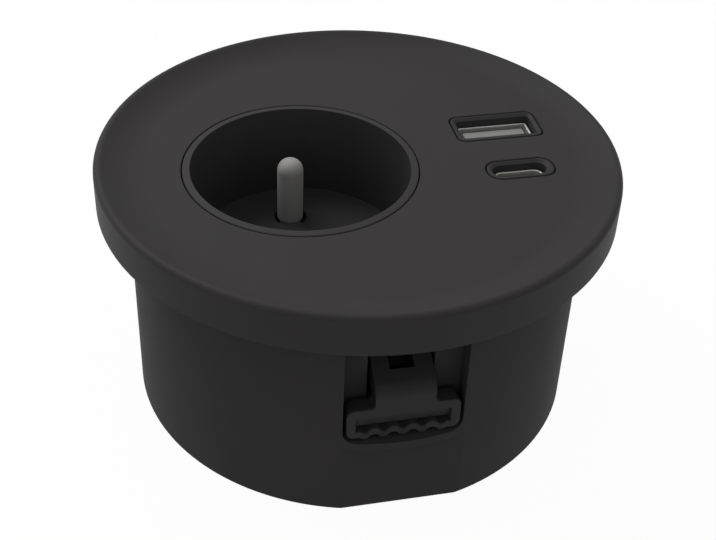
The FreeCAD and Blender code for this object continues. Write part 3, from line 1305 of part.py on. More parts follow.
def check_and_write(nodes):
    """Stops on a failed feature, then writes each node to its own file."""
    doc.recompute()
    failed = [o.Label for o in doc.Objects if "Invalid" in o.State or "Error" in o.State]
    if failed:
        raise RuntimeError("failed features: %s" % failed)
    for cut in doc.Objects:
        if cut.TypeId not in ("PartDesign::Pocket", "PartDesign::SubtractiveLoft"):
            continue
        if cut.Shape.Volume > cut.BaseFeature.Shape.Volume - 1e-3:
            raise RuntimeError("%s cuts nothing" % cut.Label)
    os.makedirs("parts", exist_ok=True)
    for node in nodes:
        shape = node.Shape
        if shape.isNull() or not shape.isValid():
            raise RuntimeError("%s is not a valid solid" % node.Label)
        shape.exportStep("parts/%s.step" % node.Label)
        print("%-20s solids %d  volume %9.1f" % (node.Label, len(shape.Solids), shape.Volume))


insert_places = [(-s.well_offset + lug_x * i, lug_x * j) for i, j in ((1, 1), (-1, 1), (-1, -1), (1, -1))]
carrier_places = [(x - s.well_offset, y) for x, y in carrier_screws_at]
lug_head = lug_bottom - s.small_head_height

all_nodes = [
    make_top_cover(), make_housing(), make_bottom_cover(), make_cover_screws(),
    make_socket_insert(), make_small_screws("insert_screws", insert_places, lug_head),
    make_earth_pin(), make_contact_carrier(),
    make_small_screws("carrier_screws", carrier_places,
                      carrier_bottom + carrier_screw_sink - s.small_head_height),
    make_socket_shutter(), make_shutter_spring(),
    make_contact("live_contact", 1), make_contact("neutral_contact", -1),
    make_earth_strap(), make_terminal_screws(),
    make_usb_module_case(),
    make_small_screws("module_screws", [(s.port_x, s.case_lug_y), (s.port_x, -s.case_lug_y)], lug_head),
    *make_usb_shells(), *make_usb_tongues(), make_charger_board(), *make_transformer(),
    make_filter_capacitors(), make_cable_bush(), make_cord_clamp(), make_clamp_screws(),
    make_claw("front_claw", 0), make_claw("rear_claw", 180),
    make_claw_pin("front_claw_pin", -1), make_claw_pin("rear_claw_pin", 1),
    make_claw_spring("front_claw_spring", 0), make_claw_spring("rear_claw_spring", 180),
]
check_and_write(all_nodes)
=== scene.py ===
"""Looks of the electrified desk grommet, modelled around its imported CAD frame.

The grommet stands on a white floor as in the photograph: a dished round cover with a mains socket well
and two charging ports, over a body that has a swing-out claw in a pocket on each side. Sizes are in
millimetres; +Z is up, the desk's top is at zero, and the front claw is on the -Y side. Most sizes are the
CAD's own. Some small ones differ by up to 1.4 mm, because they were matched to the photograph: gap lines,
port bosses, the well and its pin, the claws and their pockets.
"""
import logging
import math
from collections.abc import Sequence
from dataclasses import dataclass, field
from enum import Enum

import bmesh
import bpy
from mathutils import Matrix, Vector

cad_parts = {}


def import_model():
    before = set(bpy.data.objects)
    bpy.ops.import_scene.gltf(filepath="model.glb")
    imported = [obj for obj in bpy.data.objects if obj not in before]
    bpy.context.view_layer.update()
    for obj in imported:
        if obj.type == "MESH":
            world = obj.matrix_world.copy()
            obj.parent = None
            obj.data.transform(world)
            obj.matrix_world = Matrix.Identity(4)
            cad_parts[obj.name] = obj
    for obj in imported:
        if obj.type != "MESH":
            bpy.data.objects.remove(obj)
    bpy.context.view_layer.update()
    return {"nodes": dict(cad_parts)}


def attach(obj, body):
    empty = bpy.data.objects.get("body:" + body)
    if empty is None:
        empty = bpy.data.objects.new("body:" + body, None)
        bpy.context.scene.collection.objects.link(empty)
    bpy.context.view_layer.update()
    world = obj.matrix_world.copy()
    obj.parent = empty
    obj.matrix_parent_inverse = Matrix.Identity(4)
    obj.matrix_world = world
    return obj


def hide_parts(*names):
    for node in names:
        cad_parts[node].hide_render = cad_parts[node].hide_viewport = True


LOG = logging.getLogger("desk_grommet")

Point = tuple[float, float]
Outline = list[Point]
Step = tuple[float, float]
# Length, width and corner radius
RoundedSize = tuple[float, float, float]

# One millimetre in Blender's metres, and how near two points are before they become one
MM = 0.001
WELD = 2e-6
# How far a cutter reaches past the face that it opens, in millimetres
BEYOND = 0.5
# Straight edges in a full turn of the large, the middling, the small and the smallest round forms
LARGE_TURN = 160
MIDDLE_TURN = 96
SMALL_TURN = 40
TINY_TURN = 24
# Straight edges in a quarter turn of a rounded corner, and of a narrow rounded edge
CORNER_STEPS = 6
EDGE_STEPS = 4
# Directions of the four corners of a square
SQUARE = ((1, 1), (-1, 1), (-1, -1), (1, -1))
# Corners flatter than this many degrees are shaded smooth
SMOOTH_BELOW = 32.0
# How far up a face looks before it counts as level, and how much more large faces weigh in the shading
LEVEL = 0.9999
LARGE_FACES_WEIGH = 90


class Plane(Enum):
    """The plane that an outline is drawn on, and the way it is grown."""

    TOP = "seen from above, grown along Z"
    FRONT = "seen from the front, grown along Y"
    SIDE = "seen from the side, grown along X"

    def point(self, across: float, up: float, level: float) -> Vector:
        """Places a point of an outline.

        Args:
            across: First coordinate on the plane, in millimetres.
            up: Second coordinate on the plane.
            level: Distance of the plane from the origin along its normal.

        Returns:
            The point in metres.
        """
        order = {
            Plane.TOP: (across, up, level),
            Plane.FRONT: (across, level, up),
            Plane.SIDE: (level, across, up),
        }
        return Vector(order[self]) * MM

    def normal(self) -> Vector:
        """Returns the unit vector that an outline is grown along."""
        return self.point(0, 0, 1) / MM


class Joining(Enum):
    """How one solid form acts on another."""

    CUT = "DIFFERENCE"
    ADD = "UNION"


def arc(centre: Point, radius: float, start: float, end: float, steps: int) -> Outline:
    """Points along an arc.

    Args:
        centre: Centre of the arc.
        radius: Its radius.
        start: Angle of the first point, in degrees.
        end: Angle of the last point.
        steps: Number of straight edges.

    Returns:
        The points, both ends included.
    """
    angles = [math.radians(start + (end - start) * step / steps) for step in range(steps + 1)]
    return [(centre[0] + radius * math.cos(a), centre[1] + radius * math.sin(a)) for a in angles]


def circle(x: float, y: float, radius: float, steps: int = SMALL_TURN) -> Outline:
    """Returns the points of a full circle."""
    return arc((x, y), radius, 0, 360, steps)[:-1]


def rounded_box(x: float, y: float, length: float, width: float, corner: float) -> Outline:
    """Draws a rectangle with round corners.

    Args:
        x: Middle along the first axis.
        y: Middle along the second axis.
        length: Size along the first axis.
        width: Size along the second axis.
        corner: Radius of the corners; half the width gives a slot with round ends.

    Returns:
        The outline, counter-clockwise.
    """
    across, up = length / 2 - corner, width / 2 - corner
    quarters = ((1, -1, -90), (1, 1, 0), (-1, 1, 90), (-1, -1, 180))
    points: Outline = []
    for side, end, start in quarters:
        points += arc((x + across * side, y + up * end), corner, start, start + 90, CORNER_STEPS)
    return points


def widened(x: float, y: float, sizes: RoundedSize, ends: float, sides: float) -> Outline:
    """Draws a round-cornered rectangle that lies some way outside another.

    Args:
        x: Middle along the first axis.
        y: Middle along the second axis.
        sizes: Length, width and corner radius of the other rectangle.
        ends: How far outside it lies at its ends.
        sides: How far outside it lies at its long sides.

    Returns:
        The outline, counter-clockwise.
    """
    length, width, corner = sizes
    return rounded_box(x, y, length + ends * 2, width + sides * 2, corner + sides)


def box(left: float, right: float, low: float, high: float) -> Outline:
    """Returns a plain rectangle from its four sides."""
    return [(left, low), (right, low), (right, high), (left, high)]


def turned_about(points: Outline, centre: Point, degrees: float) -> Outline:
    """Turns an outline about a centre.

    Args:
        points: The outline.
        centre: What it is turned about.
        degrees: How far, counter-clockwise.

    Returns:
        The turned outline.
    """
    cos, sin = math.cos(math.radians(degrees)), math.sin(math.radians(degrees))
    return [
        (centre[0] + (x - centre[0]) * cos - (y - centre[1]) * sin,
         centre[1] + (x - centre[0]) * sin + (y - centre[1]) * cos)
        for x, y in points
    ]


def span(near: float, far: float, side: int) -> Point:
    """Returns the same stretch of Y on either side of the grommet, its lower end first."""
    return min(near * side, far * side), max(near * side, far * side)


def rounding(radius: float, way: int, first: float = 0.3) -> list[Step]:
    """Returns the two steps that round a form's last edge.

    Args:
        radius: How far the face shrinks and moves in all.
        way: 1 where the form grows along its plane's normal and -1 where it grows against it.
        first: Share of the shrinking that the first step does.

    Returns:
        The steps.
    """
    return [(radius * first, radius * 0.7 * way), (radius * (1 - first), radius * 0.3 * way)]


def pick(piece: bpy.types.Object | None = None) -> None:
    """Deselects everything in object mode.

    Args:
        piece: The piece that is then selected and activated, if any.
    """
    if bpy.context.object and bpy.context.object.mode != "OBJECT":
        bpy.ops.object.mode_set(mode="OBJECT")
    bpy.ops.object.select_all(action="DESELECT")
    if piece is not None:
        piece.select_set(True)
        bpy.context.view_layer.objects.active = piece


def draw(name: str, points: Sequence[Vector]) -> bpy.types.Object:
    """Draws a chain of edges point by point and stays in edit mode.

    Args:
        name: Name of the new piece.
        points: The points in metres, in the object's frame.

    Returns:
        The piece, with its last point selected.
    """
    pick()
    bpy.ops.mesh.primitive_plane_add(size=MM, location=points[0])
    piece = bpy.context.object
    piece.name = piece.data.name = name
    bpy.ops.object.mode_set(mode="EDIT")
    bpy.ops.mesh.select_mode(type="VERT")
    bpy.ops.mesh.select_all(action="SELECT")
    bpy.ops.mesh.merge(type="CENTER")
    for here, after in zip(points, points[1:]):
        bpy.ops.mesh.extrude_vertices_move(TRANSFORM_OT_translate={"value": after - here})
    return piece


def close_up(piece: bpy.types.Object) -> bpy.types.Object:
    """Merges a new form's doubles, turns its faces outwards and moves its place into its mesh.

    Args:
        piece: The form, in edit mode.

    Returns:
        The form, in object mode.
    """
    bpy.ops.mesh.select_all(action="SELECT")
    bpy.ops.mesh.remove_doubles(threshold=WELD)
    bpy.ops.mesh.normals_make_consistent(inside=False)
    bpy.ops.object.mode_set(mode="OBJECT")
    bpy.ops.object.transform_apply(location=True, rotation=True, scale=True)
    return piece


def grow(name: str, outline: Outline, plane: Plane, start: float, steps: Sequence[Step]) -> bpy.types.Object:
    """Fills an outline and grows its face into a closed form.

    Args:
        name: Name of the new piece.
        outline: The first face's outline, in millimetres.
        plane: The plane that it is drawn on.
        start: Where the first face lies along the plane's normal.
        steps: For each step how far the face shrinks on every side, and how far it moves.

    Returns:
        The closed form.
    """
    corners = [plane.point(across, up, start) for across, up in outline]
    piece = draw(name, corners + corners[:1])
    bpy.ops.mesh.select_all(action="SELECT")
    bpy.ops.mesh.remove_doubles(threshold=WELD)
    bpy.ops.mesh.edge_face_add()
    for shrink, move in steps:
        way = plane.normal() * move * MM
        if shrink:
            bpy.ops.mesh.inset(thickness=shrink * MM, depth=0)
            bpy.ops.transform.translate(value=way)
        else:
            bpy.ops.mesh.extrude_region_move(TRANSFORM_OT_translate={"value": way})
    return close_up(piece)


def turn(name: str, profile: Outline, centre: Point = (0.0, 0.0),
         steps: int = LARGE_TURN) -> bpy.types.Object:
    """Spins a profile round an upright axis into a closed form.

    Args:
        name: Name of the new piece.
        profile: Radius and height of each point; it starts and ends on the axis, or else it is closed.
        centre: Where the axis stands.
        steps: Straight edges in the full turn.

    Returns:
        The closed form.
    """
    chain = [Vector((centre[0] + radius, centre[1], height)) * MM for radius, height in profile]
    if max(profile[0][0], profile[-1][0]) > WELD / MM:
        chain.append(chain[0])
    piece = draw(name, chain)
    bpy.ops.mesh.select_all(action="SELECT")
    bpy.ops.mesh.spin(
        steps=steps, angle=math.tau, center=(centre[0] * MM, centre[1] * MM, 0), axis=(0, 0, 1)
    )
    return join_caps(close_up(piece))


def join_caps(piece: bpy.types.Object) -> bpy.types.Object:
    """Joins the triangles that meet in the middle of a turned form's flat ends into one face each.

    Args:
        piece: The turned form.

    Returns:
        The piece.
    """
    pick(piece)
    bpy.ops.object.mode_set(mode="EDIT")
    bpy.ops.mesh.select_mode(type="VERT")
    bpy.ops.mesh.select_all(action="DESELECT")
    mesh = bmesh.from_edit_mesh(piece.data)
    for corner in mesh.verts:
        level = all(abs(face.normal.z) > LEVEL for face in corner.link_faces)
        corner.select_set(level and len(corner.link_faces) >= SMALL_TURN)
    bmesh.update_edit_mesh(piece.data)
    bpy.ops.mesh.dissolve_verts()
    bpy.ops.object.mode_set(mode="OBJECT")
    return piece


def modify(piece: bpy.types.Object, kind: str, **settings: object) -> None:
    """Adds a modifier and applies it at once.

    Args:
        piece: The piece that it changes.
        kind: Blender's name of the modifier's type.
        settings: Properties of the modifier.
    """
    pick(piece)
    modifier = piece.modifiers.new(kind.lower(), kind)
    for name, value in settings.items():
        setattr(modifier, name, value)
    bpy.ops.object.modifier_apply(modifier=modifier.name)


def discard(piece: bpy.types.Object) -> None:
    """Removes a cutter or a pattern that has done its work.

    Args:
        piece: The cutter or pattern; its mesh goes with it.
    """
    mesh = piece.data
    bpy.data.objects.remove(piece)
    bpy.data.meshes.remove(mesh)


def combine(piece: bpy.types.Object, how: Joining, *tools: bpy.types.Object) -> bpy.types.Object:
    """Cuts forms out of a piece, or adds them to it, and removes them.

    Args:
        piece: The piece that stays.
        how: Whether the forms are cut out or added.
        tools: The closed forms.

    Returns:
        The piece.
    """
    for tool in tools:
        modify(piece, "BOOLEAN", operation=how.value, solver="EXACT", object=tool)
        discard(tool)
    return piece


def copy_of(piece: bpy.types.Object, name: str, way: Matrix) -> bpy.types.Object:
    """Copies a finished form with its own mesh.

    Args:
        piece: The form to copy.
        name: Name of the copy.
        way: Where the copy is moved or turned to.

    Returns:
        The copy.
    """
    pick(piece)
    bpy.ops.object.duplicate(linked=False)
    copy = bpy.context.object
    copy.name = copy.data.name = name
    copy.data.transform(way)
    return copy


def linear(colour: str) -> tuple[float, float, float, float]:
    """Turns an sRGB hex colour into linear values.

    Args:
        colour: Six hex digits after a hash sign.

    Returns:
        Linear red, green, blue and an alpha of one.
    """
    parts = [int(colour[place:place + 2], 16) / 255 for place in (1, 3, 5)]
    curve = [part / 12.92 if part <= 0.04045 else ((part + 0.055) / 1.055) ** 2.4 for part in parts]
    return curve[0], curve[1], curve[2], 1.0


def add_node(tree: bpy.types.NodeTree, kind: str, sockets: dict[str | int, object] | None = None,
             **settings: object) -> bpy.types.Node:
    """Adds a node with its settings, its values and its links.

    Args:
        tree: The tree that the node joins.
        kind: Blender's name of the node's type.
        sockets: A value, or the socket that feeds it, for each input by name or number.
        settings: Properties of the node.

    Returns:
        The node.
    """
    node = tree.nodes.new(kind)
    for name, value in settings.items():
        setattr(node, name, value)
    for name, value in (sockets or {}).items():
        if isinstance(value, bpy.types.NodeSocket):
            tree.links.new(value, node.inputs[name])
        else:
            node.inputs[name].default_value = value
    return node


def new_material(name: str) -> tuple[bpy.types.Material, bpy.types.NodeTree, bpy.types.Node]:
    """Makes an empty material with its output.

    Args:
        name: Name of the material.

    Returns:
        The material, its node tree and its output node.
    """
    material = bpy.data.materials.new(name)
    material.use_nodes = True
    material.node_tree.nodes.clear()
    return material, material.node_tree, add_node(material.node_tree, "ShaderNodeOutputMaterial")


@dataclass(frozen=True)
class Moulded:
    """A moulded plastic or rubber, with the fine grain of its mould and a faint clouding.

    The grain is the spark-eroded texture of the mould, about 0.1 mm on the real one. It is drawn 0.3 mm
    coarse or more, because a pixel of the picture covers about 0.3 mm.
    """

    name: str
    colour: str
    roughness: float
    grain: float = 0.34
    relief: float = 0.006
    cloud: float = 9.0
    clouding: float = 0.05
    ior: float = 1.53
    specular: float = 0.1

    def material(self) -> bpy.types.Material:
        """Builds the plastic's nodes.

        Returns:
            The material.
        """
        material, tree, output = new_material(self.name)
        place = add_node(tree, "ShaderNodeTexCoord").outputs["Object"]
        grain = add_node(tree, "ShaderNodeTexNoise", {
            "Vector": place, "Scale": 1 / (self.grain * MM), "Detail": 2.0, "Roughness": 0.6})
        cloud = add_node(tree, "ShaderNodeTexNoise", {
            "Vector": place, "Scale": 1 / (self.cloud * MM), "Detail": 3.0})
        red, green, blue, alpha = linear(self.colour)
        dark, light = 1 - self.clouding, 1 + self.clouding
        tint = add_node(tree, "ShaderNodeMix", {
            "Factor": cloud.outputs["Fac"],
            6: (red * dark, green * dark, blue * dark, alpha),
            7: (red * light, green * light, blue * light, alpha)}, data_type="RGBA")
        gloss = add_node(tree, "ShaderNodeMapRange", {
            "Value": grain.outputs["Fac"], "To Min": self.roughness - 0.05, "To Max": self.roughness + 0.05})
        bump = add_node(tree, "ShaderNodeBump", {
            "Height": grain.outputs["Fac"], "Strength": 0.6, "Distance": self.relief * MM})
        shader = add_node(tree, "ShaderNodeBsdfPrincipled", {
            "Base Color": tint.outputs[2], "Roughness": gloss.outputs["Result"],
            "Normal": bump.outputs["Normal"], "IOR": self.ior, "Specular IOR Level": self.specular})
        tree.links.new(shader.outputs["BSDF"], output.inputs["Surface"])
        return material


@dataclass(frozen=True)
class Metal:
    """A plated or bright metal, with fine lines from turning, drawing or stamping.

    The lines field is how long a mark is along X, Y and Z in millimetres. Real marks are a few hundredths
    of a millimetre apart; the shortest here is about a tenth, which is as fine as the picture shows.
    """

    name: str
    colour: str
    roughness: float
    lines: tuple[float, float, float] = (1.5, 1.5, 0.12)
    relief: float = 0.0015

    def material(self) -> bpy.types.Material:
        """Builds the metal's nodes.

        Returns:
            The material.
        """
        material, tree, output = new_material(self.name)
        place = add_node(tree, "ShaderNodeTexCoord").outputs["Object"]
        stretched = add_node(tree, "ShaderNodeMapping", {
            "Vector": place, "Scale": tuple(1 / (length * MM) for length in self.lines)})
        marks = add_node(tree, "ShaderNodeTexNoise", {
            "Vector": stretched.outputs["Vector"], "Scale": 1.0, "Detail": 3.0})
        red, green, blue, alpha = linear(self.colour)
        tint = add_node(tree, "ShaderNodeMix", {
            "Factor": marks.outputs["Fac"],
            6: (red * 0.9, green * 0.9, blue * 0.9, alpha), 7: (red, green, blue, alpha)}, data_type="RGBA")
        gloss = add_node(tree, "ShaderNodeMapRange", {
            "Value": marks.outputs["Fac"], "To Min": self.roughness - 0.06, "To Max": self.roughness + 0.08})
        bump = add_node(tree, "ShaderNodeBump", {
            "Height": marks.outputs["Fac"], "Strength": 0.5, "Distance": self.relief * MM})
        shader = add_node(tree, "ShaderNodeBsdfPrincipled", {
            "Base Color": tint.outputs[2], "Roughness": gloss.outputs["Result"],
            "Normal": bump.outputs["Normal"], "Metallic": 1.0})
        tree.links.new(shader.outputs["BSDF"], output.inputs["Surface"])
        return material


@dataclass(frozen=True)
class Woven:
    """A glass-cloth laminate or a wound tape: threads or turns that cross under a lacquer.

    The pitch is the real one: glass threads lie 0.5 mm apart, and turns of tape about 2 mm.
    """

    name: str
    colour: str
    thread: str
    pitch: float
    roughness: float
    crossed: bool = True

    def material(self) -> bpy.types.Material:
        """Builds the nodes of the laminate or tape.

        Returns:
            The material.
        """
        material, tree, output = new_material(self.name)
        place = add_node(tree, "ShaderNodeTexCoord").outputs["Object"]
        # Wave Texture has 20 / (2 pi) waves to a unit at scale 1
        waves = {"Vector": place, "Scale": math.tau / (20 * self.pitch * MM), "Distortion": 0.6}
        first = add_node(tree, "ShaderNodeTexWave", waves, bands_direction="X" if self.crossed else "Z")
        second = add_node(tree, "ShaderNodeTexWave", waves, bands_direction="Y" if self.crossed else "Z")
        weave = add_node(tree, "ShaderNodeMath", {
            0: first.outputs["Fac"], 1: second.outputs["Fac"]}, operation="MULTIPLY")
        tint = add_node(tree, "ShaderNodeMix", {
            "Factor": weave.outputs["Value"],
            6: linear(self.colour), 7: linear(self.thread)}, data_type="RGBA")
        bump = add_node(tree, "ShaderNodeBump", {
            "Height": weave.outputs["Value"], "Strength": 0.4, "Distance": 0.02 * MM})
        shader = add_node(tree, "ShaderNodeBsdfPrincipled", {
            "Base Color": tint.outputs[2], "Roughness": self.roughness, "Normal": bump.outputs["Normal"]})
        tree.links.new(shader.outputs["BSDF"], output.inputs["Surface"])
        return material


Finish = Moulded | Metal | Woven

# What each of the record's slots is made of; the comments say what that gives the eye
FINISHES: dict[str, Finish] = {
    # Anthracite ABS from a finely eroded mould: an even, almost shineless dark grey
    "cover_plastic": Moulded("abs_anthracite_eroded", "#3a3839", 0.56),
    # The same grey in polyamide, a touch smoother: the well falls off to near black inside
    "well_plastic": Moulded("polyamide_anthracite_satin", "#3c3a3b", 0.5, relief=0.004),
    # The cover's ABS with smoother flanks round the ports
    "port_plastic": Moulded("abs_anthracite_satin", "#3a3839", 0.5, relief=0.004),
    # Black ABS below the desk, with a coarser grain than the cover
    "housing_plastic": Moulded("abs_black_plain", "#3d3b3c", 0.66, grain=0.42, specular=0.07),
    # Acetal: slightly lighter and smoother than the body, as wear parts are
    "claw_plastic": Moulded("acetal_black", "#353334", 0.5, relief=0.004),
    # Nickel over turned brass: warm grey, blurred reflections, fine rings
    "earth_metal": Metal("nickel_plated_brass_turned", "#c8c7c6", 0.92, (1.6, 1.6, 0.14)),
    # Tin over drawn steel sheet: a bright cut rim with duller flanks
    "port_metal": Metal("tin_plated_steel_drawn", "#dededc", 0.55, (0.14, 0.14, 1.6)),
    # Glass-filled liquid crystal polymer: pale grey and quite matt
    "tongue_plastic": Moulded("lcp_pale_grey", "#919190", 0.5, relief=0.003, clouding=0.03),
    # Zinc-plated steel: pale blue-grey, a soft shine
    "screw_steel": Metal("zinc_plated_steel", "#b9bcbf", 0.33, (0.5, 0.5, 0.14)),
    # Bright rolled spring strip: long marks along the rolling
    "spring_steel": Metal("spring_strip_rolled", "#c2c2c0", 0.26, (2.0, 0.14, 0.14)),
    # Stamped brass: yellow, with rolled marks
    "contact_brass": Metal("brass_stamped", "#c9a55f", 0.3, (0.14, 1.8, 0.14)),
    # Natural polyamide: milky white and matt
    "carrier_plastic": Moulded("polyamide_natural", "#d6d5ce", 0.48, specular=0.5),
    # Black polyamide of the shutter: dark in the plug holes
    "shutter_plastic": Moulded("polyamide_black", "#302f30", 0.5),
    # Lacquered glass-cloth laminate: green with the weave just showing
    "board_laminate": Woven("glass_cloth_laminate", "#1f6b3a", "#2c7d48", 0.5, 0.32),
    # Pressed and fired ferrite: dark grey, dry, slightly speckled
    "core_ferrite": Moulded("ferrite_sintered", "#3c3c3d", 0.62, grain=0.5, relief=0.01, clouding=0.12),
    # Polyester tape over the winding: yellow, glossy, with the turns' edges
    "coil_tape": Woven("polyester_tape", "#cfa52d", "#e0bd4a", 2.0, 0.28, crossed=False),
    # Shrunk PVC sleeve of the capacitors: dark blue with a soft shine
    "capacitor_sleeve": Moulded("pvc_sleeve_shrunk", "#26304a", 0.3, relief=0.002, specular=0.5),
    # Soft EPDM rubber of the cable bush: deep black and shineless
    "bush_rubber": Moulded("epdm_rubber", "#232323", 0.72, grain=0.5, relief=0.012, specular=0.25),
}


class Workshop:
    """Dresses pieces: finish, body, slot and the CAD nodes that they stand for."""

    def __init__(self) -> None:
        """Makes every finish once."""
        self.materials: dict[str, bpy.types.Material] = {
            slot: finish.material() for slot, finish in FINISHES.items()}

    def dress(self, piece: bpy.types.Object, slot: str, body: str, *nodes: str) -> bpy.types.Object:
        """Finishes a new piece.

        Args:
            piece: The piece, with its place in its mesh.
            slot: The record's material slot.
            body: The CAD body that it rides on.
            nodes: The CAD nodes that it replaces.

        Returns:
            The piece.
        """
        pick(piece)
        bpy.ops.object.mode_set(mode="EDIT")
        bpy.ops.mesh.select_all(action="SELECT")
        bpy.ops.mesh.remove_doubles(threshold=WELD)
        bpy.ops.mesh.dissolve_degenerate(threshold=WELD)
        bpy.ops.object.mode_set(mode="OBJECT")
        bpy.ops.object.shade_smooth_by_angle(angle=math.radians(SMOOTH_BELOW))
        modify(piece, "WEIGHTED_NORMAL", keep_sharp=True, weight=LARGE_FACES_WEIGH)
        piece.data.materials.clear()
        piece.data.materials.append(self.materials[slot])
        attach(piece, body)
        if nodes:
            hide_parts(*nodes)
        mesh = bmesh.new()
        mesh.from_mesh(piece.data)
        loose = sum(len(edge.link_faces) != 2 for edge in mesh.edges)
        mesh.free()
        LOG.info("%s: %d faces, %d open edges, on %s", piece.name, len(piece.data.polygons), loose, body)
        return piece

    def redress(self, node: bpy.types.Object, slot: str) -> None:
        """Gives a carried-over CAD node its finish.

        Args:
            node: The node's object.
            slot: The record's material slot.
        """
        for held in node.material_slots:
            held.material = self.materials[slot]
        LOG.info("%s: kept from the CAD, now %s", node.name, FINISHES[slot].name)


@dataclass(frozen=True)
class Shared:
    """Sizes that several pieces share, in millimetres."""

    flat: float = 5.1
    under_plate: float = 2.5
    body_radius: float = 39.65
    body_bore: float = 37.65
    body_height: float = 38.9
    base_top: float = -36.7
    well_x: float = -10.1
    well_ring: float = 20.19
    gap: float = 0.2
    port_gap: float = 0.28
    port_x: float = 27.0
    wide_y: float = 7.5
    narrow_y: float = -6.5
    port_lug_y: float = 16.8
    wide_boss: RoundedSize = (15.55, 8.0, 1.4)
    narrow_boss: RoundedSize = (11.8, 5.35, 2.3)
    wide_boss_at: Point = (26.9, 7.35)
    narrow_boss_at: Point = (27.1, -6.65)
    pocket_half: float = 10.1
    pocket_back: float = 33.35
    pocket_wall: float = 1.6
    slot_half: float = 5.55
    hinge_y: float = 27.5
    hinge_z: float = -9.0188
    column_x: float = 20.955
    column_y: float = 24.973
    lug_place: float = 17.395
    screw_hole: float = 1.35
    edge: float = 0.12

    def columns(self) -> list[Point]:
        """Returns the places of the four long screws."""
        return [(self.column_x * i, self.column_y * j) for i, j in SQUARE]

    def lug_holes(self) -> list[Point]:
        """Returns the places of the well's four fixing screws."""
        return [(self.well_x + self.lug_place * i, self.lug_place * j) for i, j in SQUARE]

    def port_lugs(self) -> list[Point]:
        """Returns the places of the charging module's two fixing screws."""
        return [(self.port_x, self.port_lug_y * side) for side in (1, -1)]


SIZES = Shared()


